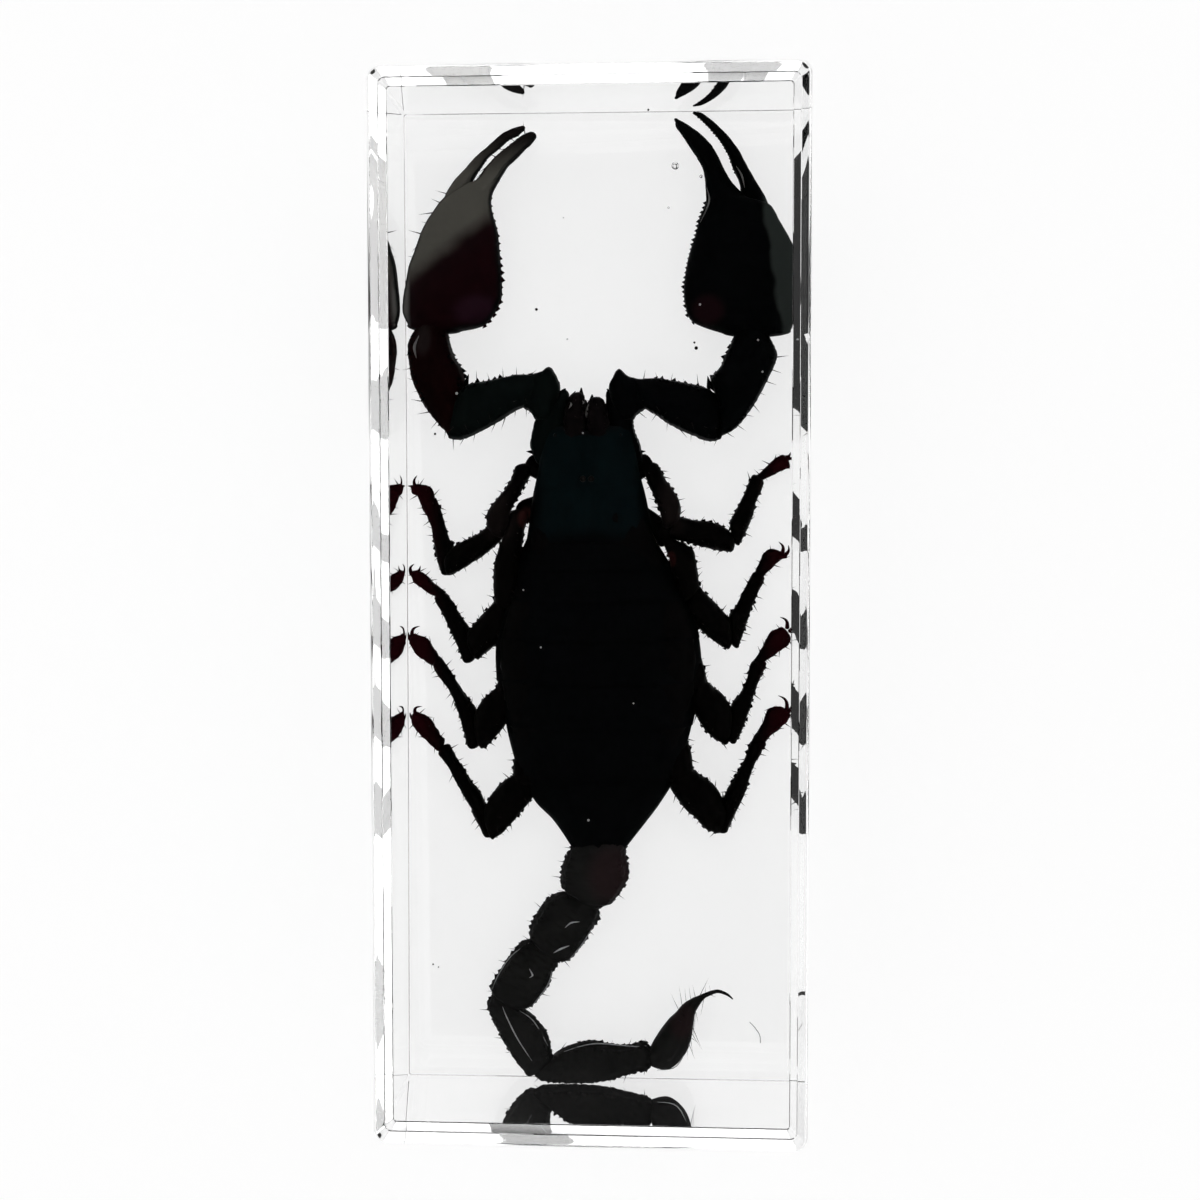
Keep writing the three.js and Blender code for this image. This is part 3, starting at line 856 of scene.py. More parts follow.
LEGS = {
    "left_1": {
        "coxa": beam_ribs([
            (-2.6, 12.8, 2.6, 1.0, 1.0), (-5.2, 14.4, 2.9, 1.3, 1.2), (-7.9, 15.6, 3.3, 1.2, 1.2),
        ]),
        "thigh": [
            (-9.7, 15.2, -7.5, 15.2, 3.4, 1.3), (-10.3, 13.4, -8.3, 13.6, 4.2, 1.5),
            (-11.6, 11.7, -9.3, 11.7, 4.8, 1.6), (-12.7, 10.2, -10.1, 10.2, 4.8, 1.7),
            (-12.8, 8.9, -10.2, 8.9, 4.6, 1.7), (-12.5, 8, -10.7, 7.7, 4.2, 1.4),
        ],
        "knee": [
            (-12.8, 8.6, -11.3, 7, 3.8, 1.4), (-13.8, 7.8, -12.2, 6.1, 3.8, 1.7),
            (-15.2, 7.1, -13.8, 4.9, 3.6, 1.8), (-16.4, 6.5, -15.6, 3.8, 3.2, 1.8),
            (-17.5, 5.6, -17.1, 3, 2.8, 1.6),
        ],
        "shin": [
            (-18.3, 3.4, -16.8, 4, 2.4, 1.4), (-18.8, 4.9, -16.8, 6.2, 2.3, 1.5),
            (-19.1, 6.7, -17.4, 7.3, 2.1, 1.3), (-19.4, 8.3, -17.9, 8.8, 1.9, 1.1),
            (-20.1, 9.9, -18.4, 10.6, 1.6, 1), (-20.6, 10.8, -18.9, 11.7, 1.4, 0.9),
        ],
        "foot": [
            (-20.6, 10.9, -19.1, 11.9, 1.4, 0.9), (-21.1, 11.9, -19.4, 12.8, 1.2, 0.8),
            (-21.7, 12.3, -19.9, 13.2, 1.1, 0.7), (-21.9, 12.9, -20.9, 13.4, 1, 0.5),
        ],
        "hooks": [((-21.3, 13.0), (-21.2, 14.4), 0.5), ((-21.2, 13.1), (-22.3, 13.2), 0.0)],
    },
    "left_2": {
        "coxa": beam_ribs([
            (-2.6, 10.8, 2.5, 1.0, 1.0), (-5.2, 11.2, 2.8, 1.3, 1.2), (-8.4, 10.4, 3.3, 1.2, 1.2),
            (-8.6, 9.6, 3.3, 1.2, 1.2),
        ]),
        "thigh": [
            (-10.3, 9.9, -7.9, 10.2, 3.6, 1.5), (-10.8, 7.9, -8.5, 8.2, 4.4, 1.8),
            (-11.4, 6.1, -8.8, 6.1, 4.9, 2), (-11.9, 4.1, -9.1, 4.1, 5, 2.1),
            (-12, 1.9, -9.1, 1.6, 4.8, 2.1), (-12, 0.2, -9.7, -0.7, 4.4, 1.8),
        ],
        "knee": [
            (-11.8, 0.4, -10.3, -2.3, 4, 1.8), (-12.9, -0.9, -11.1, -4.2, 3.9, 2),
            (-14.1, -2.2, -12.4, -5.3, 3.6, 2), (-15, -3.3, -13.8, -6.5, 3.2, 1.9),
        ],
        "shin": [
            (-15.8, -6.7, -14.2, -5.7, 2.6, 1.6), (-16.4, -5.2, -14.8, -3.5, 2.5, 1.6),
            (-17.4, -3.1, -15.9, -2, 2.2, 1.3), (-18.3, -1.2, -16.9, -0.3, 2, 1.1),
            (-19.1, 0.1, -17.6, 0.7, 1.8, 1.1),
        ],
        "foot": [
            (-19.1, 0.5, -18, 1.1, 1.6, 1), (-20.3, 1.1, -19.2, 2, 1.3, 1),
            (-21.5, 2, -20.1, 2.9, 1.1, 0.8), (-22.1, 3, -21, 3.4, 1, 0.5),
        ],
        "hooks": [((-21.9, 3.1), (-21.6, 4.2), 0.5), ((-21.6, 3.2), (-20.9, 4.0), -0.4)],
    },
    "left_3": {
        "coxa": beam_ribs([
            (-2.6, 9.2, 2.3, 1.0, 1.0), (-4.8, 7.0, 2.5, 1.3, 1.2), (-6.6, 4.4, 2.6, 1.3, 1.2),
            (-7.6, 2.4, 2.7, 1.2, 1.2),
        ]),
        "thigh": beam_ribs([
            (-7.7, 2.2, 2.7, 1.2, 1.2), (-8.6, -2.0, 2.8, 1.5, 1.5), (-9.2, -5.6, 3.4, 1.6, 1.7),
            (-9.8, -8.6, 4.2, 1.7, 1.9), (-10.2, -10.2, 4.4, 1.6, 1.8),
        ]),
        "knee": [
            (-11.6, -9.6, -10, -12.7, 4.2, 1.8), (-12.7, -10.5, -11, -14.3, 4, 2.1),
            (-13.6, -11.4, -12.2, -15.8, 3.6, 2.1), (-14.3, -12.7, -13.3, -16.8, 3.2, 1.9),
        ],
        "shin": [
            (-15.3, -16.6, -13.5, -15.5, 2.6, 1.6), (-15.7, -15.1, -14.3, -12.4, 2.5, 1.6),
            (-16.5, -12.4, -15.4, -11, 2.3, 1.4), (-17.4, -10.4, -16.5, -9.4, 2.1, 1.1),
            (-18.4, -9.1, -17.5, -7.8, 1.9, 1.1), (-19.2, -7.8, -18.5, -6.5, 1.8, 1.1),
        ],
        "foot": [
            (-19.4, -7.5, -18.9, -6, 1.6, 1), (-20.3, -7, -19.5, -5.2, 1.4, 1),
            (-21.4, -6.2, -20.2, -4.3, 1.2, 0.9), (-22.1, -5.2, -21.5, -3.9, 1, 0.7),
        ],
        "hooks": [((-21.9, -4.1), (-21.0, -3.0), 0.6), ((-22.0, -4.6), (-22.3, -3.7), 0.2)],
    },
    "left_4": {
        "coxa": beam_ribs([
            (-2.4, 7.6, 2.2, 1.0, 1.0), (-4.0, 3.6, 2.3, 1.4, 1.2), (-5.2, -0.6, 2.4, 1.4, 1.2),
            (-6.0, -4.2, 2.5, 1.2, 1.2),
        ]),
        "thigh": beam_ribs([
            (-6.2, -4.6, 2.5, 1.2, 1.2), (-6.8, -9.6, 2.5, 1.6, 1.5), (-7.4, -14.4, 3.0, 1.8, 1.8),
            (-7.9, -18.2, 4.1, 1.9, 2.0), (-8.2, -20.2, 4.3, 1.7, 2.0),
        ]),
        "knee": [
            (-9.3, -19.4, -7.8, -22.5, 4.2, 2), (-10.5, -20.1, -8.8, -23.8, 4.1, 2.2),
            (-11.6, -21.1, -10.1, -25.3, 3.8, 2.3), (-12.6, -22.3, -11.2, -26.5, 3.4, 2.1),
            (-13.2, -23.5, -12.1, -27.2, 3.1, 1.8),
        ],
        "shin": [
            (-13.5, -26.8, -12.2, -25.9, 2.6, 1.6), (-14.4, -25, -13.1, -23.6, 2.6, 1.6),
            (-15.1, -23.5, -13.9, -22, 2.4, 1.4), (-15.9, -22.2, -14.8, -21, 2.3, 1.2),
            (-16.8, -20.6, -15.6, -19.7, 2.1, 1.1), (-17.7, -19, -16.7, -18, 2, 1.1),
            (-18.7, -17.8, -17.4, -16.7, 1.8, 1.1),
        ],
        "foot": [
            (-19, -17.3, -18.2, -15.9, 1.6, 1), (-19.9, -16.5, -18.9, -15, 1.4, 1),
            (-21.2, -15.3, -19.5, -14, 1.2, 0.9), (-21.9, -14.3, -20.2, -13.4, 1, 0.8),
            (-21.9, -13.4, -21.1, -13, 1, 0.5),
        ],
        "hooks": [((-21.5, -13.3), (-20.8, -12.3), 0.8), ((-21.7, -13.8), (-22.2, -13.0), 0.2)],
    },
    "right_1": {
        "coxa": beam_ribs([
            (0.8, 12.8, 2.6, 1.0, 1.0), (3.0, 14.4, 2.9, 1.3, 1.2), (5.4, 15.7, 3.3, 1.2, 1.2),
        ]),
        "thigh": [
            (6.7, 15.4, 4.9, 15.2, 3.4, 1.3), (7.5, 13.8, 5.5, 13.4, 4.2, 1.5),
            (8.4, 12.6, 6.2, 11.8, 4.8, 1.6), (9.1, 11.2, 6.8, 10.4, 4.8, 1.7),
            (9.1, 9.8, 7.1, 8.8, 4.6, 1.6),
        ],
        "knee": [
            (9.2, 9.7, 8.3, 7.2, 4, 1.5), (10.8, 9.3, 10.3, 6.7, 3.8, 1.8),
            (12.5, 9.1, 11.8, 6.2, 3.6, 1.9), (13.8, 8.7, 13.3, 5.9, 3.2, 1.8),
            (14.7, 8, 14.6, 5.7, 2.8, 1.5),
        ],
        "shin": [
            (14.8, 8.1, 15.9, 6.7, 2.4, 1.4), (14.7, 9.1, 16.5, 7.8, 2.4, 1.6),
            (15.3, 10.2, 17.2, 9.6, 2.2, 1.4), (16.1, 11.8, 17.7, 11.3, 2, 1.2),
            (17.1, 14.2, 18.5, 13.4, 1.8, 1.1),
        ],
        "foot": [
            (17.8, 14.4, 18.6, 13.9, 1.6, 0.9), (18.6, 15.1, 19.6, 14.4, 1.4, 1),
            (19.6, 16.1, 20.6, 14.9, 1.2, 0.9), (20.6, 16.7, 21.4, 15.2, 1.1, 0.8),
        ],
        "hooks": [((21.2, 16.2), (22.1, 16.0), 0.3), ((21.0, 16.4), (21.6, 17.0), -0.3)],
    },
    "right_2": {
        "coxa": beam_ribs([
            (0.8, 10.8, 2.5, 1.0, 1.0), (3.4, 10.4, 2.8, 1.3, 1.2), (6.6, 8.4, 3.3, 1.2, 1.2),
            (7.6, 7.2, 3.3, 1.2, 1.2),
        ]),
        "thigh": [
            (8.7, 7, 7.1, 6.8, 3.8, 1.6), (10.5, 6, 7.8, 5.2, 4.4, 1.9), (11, 4, 8.2, 3.2, 4.8, 2.1),
            (11.3, 2, 8.9, 0.6, 4.6, 2),
        ],
        "knee": [
            (11.3, 1.8, 10.1, -1.5, 4.2, 1.9), (12.5, 0.5, 11.4, -3.1, 4, 2.1),
            (13.6, -0.6, 13, -4.4, 3.6, 2), (14.5, -1.6, 14.3, -5.3, 3.2, 1.9),
        ],
        "shin": [
            (14.6, -3.5, 15.8, -4.9, 2.6, 1.6), (14.7, -1.5, 16.4, -3.2, 2.5, 1.6),
            (15.5, -0.4, 17.1, -1.1, 2.2, 1.3), (16.2, 1.1, 17.8, 0.7, 2, 1.1),
            (17.3, 3.2, 18.6, 2.4, 1.8, 1.1),
        ],
        "foot": [
            (17.6, 3.4, 18.4, 2.7, 1.6, 0.9), (18.1, 4.5, 19.5, 3.8, 1.4, 1),
            (18.7, 5.6, 20.3, 4.6, 1.2, 0.9), (19.4, 6, 21.2, 5, 1, 0.8),
        ],
        "hooks": [((20.7, 5.5), (20.3, 6.8), -0.5), ((21.0, 5.3), (21.4, 6.4), -0.4)],
    },
    "right_3": {
        "coxa": beam_ribs([
            (0.8, 9.2, 2.3, 1.0, 1.0), (3.4, 7.0, 2.5, 1.3, 1.2), (5.6, 4.4, 2.6, 1.3, 1.2),
            (7.0, 2.2, 2.7, 1.2, 1.2),
        ]),
        "thigh": beam_ribs([
            (7.2, 2.0, 2.7, 1.2, 1.2), (8.4, -1.8, 2.8, 1.5, 1.5), (9.4, -5.0, 3.4, 1.6, 1.7),
            (10.2, -7.8, 4.2, 1.7, 1.9), (10.6, -9.4, 4.4, 1.6, 1.8),
        ]),
        "knee": [
            (11.7, -8.5, 10.7, -12.4, 4.2, 2), (12.8, -9.5, 11.8, -14.3, 4, 2.2),
            (13.9, -10.4, 13, -15.5, 3.6, 2.2), (14.7, -11.6, 14.1, -16.2, 3.2, 1.9),
        ],
        "shin": [
            (14.4, -14.7, 15.6, -15.8, 2.6, 1.6), (15, -11.7, 16.4, -14, 2.5, 1.7),
            (15.9, -10.5, 17.2, -11.7, 2.3, 1.4), (16.6, -9.1, 17.9, -9.5, 2.1, 1.2),
            (17.1, -7.1, 18.9, -7.2, 1.8, 1.1),
        ],
        "foot": [
            (17.4, -6.9, 18.9, -6.7, 1.6, 1), (18.2, -5.6, 19.6, -6.3, 1.4, 1.1),
            (19, -4.2, 20.4, -5.7, 1.2, 0.9), (19.5, -3.4, 21.2, -5.2, 1.1, 0.8),
            (20.5, -2.9, 21.7, -4.5, 1, 0.7),
        ],
        "hooks": [((21.3, -3.0), (20.5, -1.8), -0.6), ((21.6, -3.4), (21.9, -2.4), -0.3)],
    },
    "right_4": {
        "coxa": beam_ribs([
            (0.8, 7.6, 2.2, 1.0, 1.0), (2.8, 3.6, 2.3, 1.4, 1.2), (4.6, -0.6, 2.4, 1.4, 1.2),
            (5.6, -4.2, 2.5, 1.2, 1.2),
        ]),
        "thigh": beam_ribs([
            (5.8, -4.6, 2.5, 1.2, 1.2), (6.8, -9.6, 2.5, 1.6, 1.5), (7.6, -14.0, 3.0, 1.8, 1.8),
            (8.5, -17.4, 4.1, 1.9, 2.0), (9.0, -19.4, 4.3, 1.7, 2.0),
        ]),
        "knee": [
            (10.1, -18.5, 8.2, -21.4, 4.2, 2), (11.2, -19.4, 9.4, -23.1, 4.1, 2.3),
            (12.6, -20.4, 10.9, -24.6, 3.8, 2.3), (13.5, -21.6, 12.2, -25.9, 3.4, 2.1),
            (14.1, -22.6, 13.3, -26.3, 3.1, 1.8),
        ],
        "shin": [
            (13.1, -25.2, 14.6, -26, 2.6, 1.6), (14, -22.6, 15.5, -23.9, 2.6, 1.6),
            (14.8, -20.9, 16.7, -21.4, 2.4, 1.4), (15.6, -19.6, 17.1, -19.8, 2.2, 1.2),
            (16.4, -18.1, 17.8, -18.2, 2, 1.1), (17.1, -16.1, 18.9, -16.4, 1.8, 1.1),
        ],
        "foot": [
            (17.3, -15.8, 19, -15.9, 1.6, 1), (18.1, -14.7, 19.6, -15.2, 1.4, 1.1),
            (18.7, -13.5, 20.4, -14.7, 1.2, 0.9), (19.2, -12.3, 21.2, -13.9, 1.1, 0.8),
            (20.3, -12, 21.7, -13.2, 1, 0.7),
        ],
        "hooks": [((21.3, -12.3), (20.3, -10.8), -0.7), ((21.5, -12.6), (21.9, -11.4), -0.3)],
    },
}
LEG_KEELS = ((70, 14, 0.10), (110, 14, 0.10))


def hook(root, tip, bend, height):
    """A curved pointed claw from root to tip that bows sideways by bend, in mm."""
    start = Vector((root[0], root[1], height))
    end = Vector((tip[0], tip[1], height - 0.2))
    side = Vector((-(end - start).y, (end - start).x, 0)).normalized() * bend
    rows = []
    for step in range(7):
        part = step / 6
        middle = start.lerp(end, part) + side * math.sin(math.pi * part) * 0.6
        wide = 0.24 * (1 - part) ** 0.8 + 0.02
        rows.append((middle.x, middle.y, middle.z, wide, wide))
    return limb_shell(beam_ribs(rows), per_gap=3, around=12, square=2.0)


for label, leg in LEGS.items():
    shells = []
    for segment in ("coxa", "thigh", "knee", "shin", "foot"):
        keels = LEG_KEELS if segment in ("thigh", "knee") else ()
        shells.append(limb_shell(leg[segment], per_gap=5, around=24, square=2.3, ends=(0.5, 0.5),
                                 keels=keels, roughness=0.13, beads=0.4))
    for root, tip, bend in leg["hooks"]:
        shells.append(hook(root, tip, bend, 1.0))
    make_piece("leg_" + label, shells, leg_cuticle)

# ---------------------------------------------------------------- tail and sting
# Five ridged, beaded links of hard cuticle curl round beside the body, and end in a smooth bulb
# that narrows to a hooked sting.

TAIL = {
    "tail_link_1": [
        (-2.8, -27.5, 3, -27.3, 5, 2.4), (-3.5, -28.5, 2.9, -28.4, 4.8, 2.6),
        (-4.1, -30, 3.1, -29.9, 4.7, 2.9), (-4.3, -31.3, 3.1, -31.4, 4.5, 3),
        (-4.3, -32.2, 2.3, -32.9, 4.4, 3), (-4, -32.8, 1.3, -34.2, 4.2, 2.8),
        (-3.3, -33.2, -0.1, -34.8, 4.1, 2.3),
    ],
    "tail_link_2": [
        (-2.6, -33.1, -0.2, -35.1, 4.2, 2), (-4.6, -33.3, -0.2, -36, 4.1, 2.5),
        (-6, -34.1, -0.9, -37.2, 4, 2.8), (-6.9, -35.4, -1.8, -38.6, 4, 2.9),
        (-7.7, -36.8, -2.8, -40, 3.9, 2.9), (-8, -38.1, -3.7, -40.9, 3.8, 2.8),
        (-7.6, -38.8, -4.8, -41, 3.7, 2.3),
    ],
    "tail_link_3": [
        (-7.3, -38.8, -4.8, -40.9, 3.7, 2), (-8.8, -39, -5, -41.5, 3.6, 2.5),
        (-10, -40.3, -5.7, -42.8, 3.6, 2.7), (-10.8, -41.5, -5.9, -43.8, 3.5, 2.8),
        (-11.8, -43, -6.8, -45, 3.5, 2.8), (-12.5, -44.4, -7.9, -46.3, 3.5, 2.7),
        (-12, -45.2, -9, -46.8, 3.4, 2.2),
    ],
    "tail_link_4": [
        (-11.7, -44.8, -9.3, -46.4, 3.3, 2), (-12.7, -45.9, -9, -47, 3.3, 2.5),
        (-12.8, -46.8, -8, -47.6, 3.3, 2.7), (-12, -48.6, -6.9, -48.7, 3.3, 2.7),
        (-11, -50.6, -6.1, -50, 3.3, 2.7), (-9.7, -52.6, -5.8, -51.4, 3.3, 2.6),
        (-8.5, -54.2, -5.6, -52.1, 3.3, 2.2),
    ],
    "tail_link_5": [
        (-7.6, -54.1, -5.6, -52.5, 3.3, 1.9), (-6.8, -54.9, -4.3, -51.5, 3.3, 2.4),
        (-5.2, -55.1, -2.8, -50.9, 3.3, 2.6), (-3.3, -55.2, -1, -50.5, 3.3, 2.6),
        (-1, -55.1, 0.8, -50.8, 3.3, 2.5), (1.2, -54.7, 2.5, -51, 3.3, 2.4),
        (3.1, -54.1, 3.9, -50.8, 3.3, 2.2), (4.9, -53.7, 5.1, -50.5, 3.3, 1.9),
        (5.5, -53.4, 5.5, -50.9, 3.3, 1.5),
    ],
}
STING_BULB = [(5.6, -53.1, 5.8, -51, 3.2, 1.4), (6.8, -53.5, 6.2, -50.2, 3.2, 2.1),
              (7.9, -53.5, 6.9, -49.1, 3.2, 2.5), (9, -52.7, 7.8, -47.9, 3.2, 2.7),
              (10, -51.3, 8.7, -47, 3.2, 2.6), (10.5, -49.7, 9.5, -46.1, 3.2, 2.2),
              (10.7, -48.1, 10.2, -45.6, 3.2, 1.6), (10.9, -46.9, 10.9, -45.2, 3.2, 1.1)]
STING_POINT = [(10.9, -46.9, 10.9, -45.2, 3.3, 1), (11.8, -45.5, 12, -44.7, 3.3, 0.5),
               (12.6, -45, 12.8, -44.4, 3.3, 0.3), (13.5, -44.7, 13.6, -44.3, 3.3, 0.2),
               (14.5, -45, 14.6, -44.7, 3.3, 0.1), (15.1, -45.4, 15.2, -45.3, 3.3, 0.1)]
TAIL_DARK = (0.0056, 0.0058, 0.0058, 1)
TAIL_GREY = (0.0150, 0.0146, 0.0140, 1)
TAIL_PLUM = (0.0165, 0.0105, 0.0110, 1)
tail_cuticle = cuticle_finish("tail_cuticle", TAIL_DARK, TAIL_GREY, grain_scale=1400.0, grain_depth=1.0)
add_patch(tail_cuticle, (1.4, -30.6, 6.5), (3.6, 4.4, 4.5), TAIL_PLUM)
add_patch(tail_cuticle, (9.4, -47.6, 5.0), (2.0, 2.6, 4.0), TAIL_PLUM)
TAIL_KEELS = ((0, 11, 0.20), (40, 10, 0.22), (90, 10, 0.12), (140, 10, 0.22), (180, 11, 0.20),
              (220, 10, 0.15), (270, 12, 0.12), (320, 10, 0.15))
for label, ribs in TAIL.items():
    link_shell = limb_shell(ribs, per_gap=8, around=64, square=2.3, ends=(0.35, 0.35), keels=TAIL_KEELS,
                            roughness=0.14, beads=0.8, bead_gap=0.75)
    make_piece(label, [link_shell], tail_cuticle)
bulb_shell = limb_shell(STING_BULB, per_gap=6, around=40, square=2.1, ends=(0.8, 0.1), roughness=0.03)
point_shell = limb_shell(STING_POINT, per_gap=6, around=24, square=2.0, ends=(0.1, 0.5))
make_piece("sting", [bulb_shell, point_shell], tail_cuticle)

# ---------------------------------------------------------------- granules, spines and bristles
# Rows of small cones grow out of the cuticle: blunt granules along the margins of hands, thighs,
# legs and tail, sharp spines at the joints, and fine stiff bristles over all the limbs.

GROWTH_INPUTS = (
    ("Spacing", "NodeSocketFloat", 0.0006),
    ("Height", "NodeSocketFloat", 0.0003),
    ("Foot", "NodeSocketFloat", 0.0002),
    ("Scatter", "NodeSocketFloat", 0.3),
    ("Least", "NodeSocketFloat", 0.6),
    ("Sides", "NodeSocketInt", 7),
    ("Seed", "NodeSocketInt", 1),
    ("Finish", "NodeSocketMaterial", None),
)


def growth_tree():
    """Cones spaced along guide lines; each stands roughly the way its guide's "out" points."""
    inputs = (("Guides", "NodeSocketGeometry", None),) + GROWTH_INPUTS
    tree, given, result = node_group("edge_growth", "GeometryNodeTree", inputs,
                                     (("Cones", "NodeSocketGeometry"),))
    lines = add_node(tree, "GeometryNodeMeshToCurve", {"Mesh": given["Guides"]})
    spaced = add_node(tree, "GeometryNodeResampleCurve",
                      {"Curve": lines.outputs["Curve"], "Length": given["Spacing"]}, mode="LENGTH")
    cone = add_node(tree, "GeometryNodeMeshCone", {
        "Radius Top": 0.0, "Vertices": given["Sides"], "Radius Bottom": given["Foot"],
        "Depth": given["Height"]})
    outward = add_node(tree, "GeometryNodeInputNamedAttribute", {"Name": "out"}, data_type="FLOAT_VECTOR")
    stray = add_node(tree, "FunctionNodeRandomValue", {
        "Min": (-1.0, -1.0, -1.0), "Max": (1.0, 1.0, 1.0), "Seed": given["Seed"]}, data_type="FLOAT_VECTOR")
    strayed = add_node(tree, "ShaderNodeVectorMath", {0: stray.outputs[0], "Scale": given["Scatter"]},
                       operation="SCALE")
    way = add_node(tree, "ShaderNodeVectorMath",
                   {0: outward.outputs["Attribute"], 1: strayed.outputs["Vector"]}, operation="ADD")
    stand = add_node(tree, "FunctionNodeAlignRotationToVector", {"Vector": way.outputs["Vector"]}, axis="Z")
    size = add_node(tree, "FunctionNodeRandomValue",
                    {2: given["Least"], 3: MOST_GROWTH, "Seed": given["Seed"]}, data_type="FLOAT")
    planted = add_node(tree, "GeometryNodeInstanceOnPoints", {
        "Points": spaced.outputs["Curve"], "Instance": cone.outputs["Mesh"],
        "Rotation": stand.outputs["Rotation"], "Scale": size.outputs[1]})
    real = add_node(tree, "GeometryNodeRealizeInstances", {"Geometry": planted.outputs["Instances"]})
    painted = add_node(tree, "GeometryNodeSetMaterial",
                       {"Geometry": real.outputs["Geometry"], "Material": given["Finish"]})
    tree.links.new(painted.outputs["Geometry"], result.inputs["Cones"])
    return tree


MOST_GROWTH = 1.25
GROWTH = growth_tree()


def grow(name, guides, finish, slot, **sizes):
    """Turns guide lines into one mesh of cones. A guide is a list of (point, way out) in mm."""
    points = []
    ways = []
    edges = []
    for guide in guides:
        start = len(points)
        points += [tuple(point * MM) for point, out in guide]
        ways += [value for point, out in guide for value in out]
        edges += [(start + i, start + i + 1) for i in range(len(guide) - 1)]
    mesh = bpy.data.meshes.new(name + "_guides")
    mesh.from_pydata(points, edges, [])
    mesh.attributes.new("out", "FLOAT_VECTOR", "POINT").data.foreach_set("vector", ways)
    made = bpy.data.objects.new(name, mesh)
    scene.collection.objects.link(made)
    growth = made.modifiers.new("growth", "NODES")
    growth.node_group = GROWTH
    chosen = dict(sizes, Finish=finish)
    for socket in GROWTH.interface.items_tree:
        if socket.in_out == "INPUT" and socket.name in chosen:
            growth[socket.identifier] = chosen[socket.name]
    seen_by = bpy.context.evaluated_depsgraph_get()
    grown = bpy.data.meshes.new_from_object(made.evaluated_get(seen_by))
    made.modifiers.remove(growth)
    for vertex in grown.vertices:
        vertex.co = within_walls(vertex.co / MM) * MM
    made.data = grown
    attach(made, "root")
    return made


GUIDE_STEPS = 6
ROOT_SINK = 0.06


def on_limb(ribs, along, turn, sink=ROOT_SINK):
    """Point on a limb's skin and the way out of it: along from 0 to 1, turn in degrees from the
    rib's right edge over the top."""
    rows = smooth_through(ribs, GUIDE_STEPS)
    spot = along * (len(rows) - 1)
    first = min(int(spot), len(rows) - 2)
    row = [a + (b - a) * (spot - first) for a, b in zip(rows[first], rows[first + 1])]
    middle = Vector(((row[0] + row[2]) / 2, (row[1] + row[3]) / 2, row[4]))
    across = Vector(((row[2] - row[0]) / 2, (row[3] - row[1]) / 2, 0))
    angle = math.radians(turn)
    flat = math.copysign(abs(math.cos(angle)) ** (2 / SIDE_SMOOTH), math.cos(angle))
    high = math.copysign(abs(math.sin(angle)) ** (2 / SIDE_SMOOTH), math.sin(angle))
    out = (across.normalized() * math.cos(angle) + Vector((0, 0, math.sin(angle)))).normalized()
    point = middle + across * flat + Vector((0, 0, row[5] * high)) - out * sink
    return point, out


def line_on(ribs, first, last, turn, steps=16, **more):
    return [on_limb(ribs, first + (last - first) * step / steps, turn, **more) for step in range(steps + 1)]


RIGHT_EDGE = 0
LEFT_EDGE = 180
grow("granules_hand_left", [line_on(ARMS["hand_left"], 0.06, 0.34, RIGHT_EDGE)],
     left_claw_cuticle, "claw_cuticle", Spacing=0.00078, Height=0.00040, Foot=0.00034, Scatter=0.35,
     Least=0.45, Seed=3)
grow("granules_hand_left_fine", [line_on(ARMS["hand_left"], 0.34, 0.52, RIGHT_EDGE)],
     left_claw_cuticle, "claw_cuticle", Spacing=0.00075, Height=0.00022, Foot=0.00022, Scatter=0.2, Seed=5)
grow("granules_hand_right", [line_on(ARMS["hand_right"], 0.06, 0.50, RIGHT_EDGE)],
     right_claw_cuticle, "claw_cuticle", Spacing=0.00052, Height=0.00036, Foot=0.00026, Scatter=0.25,
     Least=0.55, Seed=4)
finger_teeth = [line_on(ARMS["hinged_finger_left"], 0.35, 0.95, RIGHT_EDGE),
                line_on(ARMS["hand_left"], 0.66, 0.97, LEFT_EDGE),
                line_on(ARMS["hinged_finger_right"], 0.35, 0.95, RIGHT_EDGE)]
grow("finger_teeth", finger_teeth, black_arm, "claw_cuticle", Spacing=0.00042, Height=0.00016,
     Foot=0.00018, Scatter=0.2, Seed=6)
arm_rows = []
for label in ("thigh_left", "thigh_right", "elbow_left", "elbow_right"):
    arm_rows.append(line_on(ARMS[label], 0.10, 0.95, RIGHT_EDGE))
    arm_rows.append(line_on(ARMS[label], 0.10, 0.90, 40))
    arm_rows.append(line_on(ARMS[label], 0.10, 0.90, 140))
grow("granules_arms", arm_rows, black_arm, "dark_cuticle", Spacing=0.00066, Height=0.00050,
     Foot=0.00032, Scatter=0.55, Least=0.25, Seed=8)
leg_rows = []
for leg in LEGS.values():
    for segment in ("thigh", "knee", "shin"):
        for turn in (RIGHT_EDGE, LEFT_EDGE):
            leg_rows.append(line_on(leg[segment], 0.05, 0.95, turn))
grow("granules_legs", leg_rows, leg_cuticle, "leg_cuticle", Spacing=0.00075, Height=0.00030,
     Foot=0.00030, Scatter=0.5, Least=0.2, Seed=11)
jaw_rows = [line_on(jaw[0], 0.15, 0.98, turn)
            for jaw in JAWS.values() for turn in (RIGHT_EDGE, 50, 130, LEFT_EDGE)]
grow("granules_jaws", jaw_rows, jaw_cuticle, "dark_cuticle", Spacing=0.00055, Height=0.00055,
     Foot=0.00030, Scatter=0.7, Least=0.3, Seed=12)
tail_rows = []
for ribs in TAIL.values():
    for turn in (RIGHT_EDGE, 40, 140, LEFT_EDGE):
        tail_rows.append(line_on(ribs, 0.08, 0.92, turn, sink=-0.06))
grow("granules_tail", tail_rows, tail_cuticle, "dark_cuticle", Spacing=0.00062, Height=0.00030,
     Foot=0.00030, Scatter=0.35, Least=0.4, Seed=9)

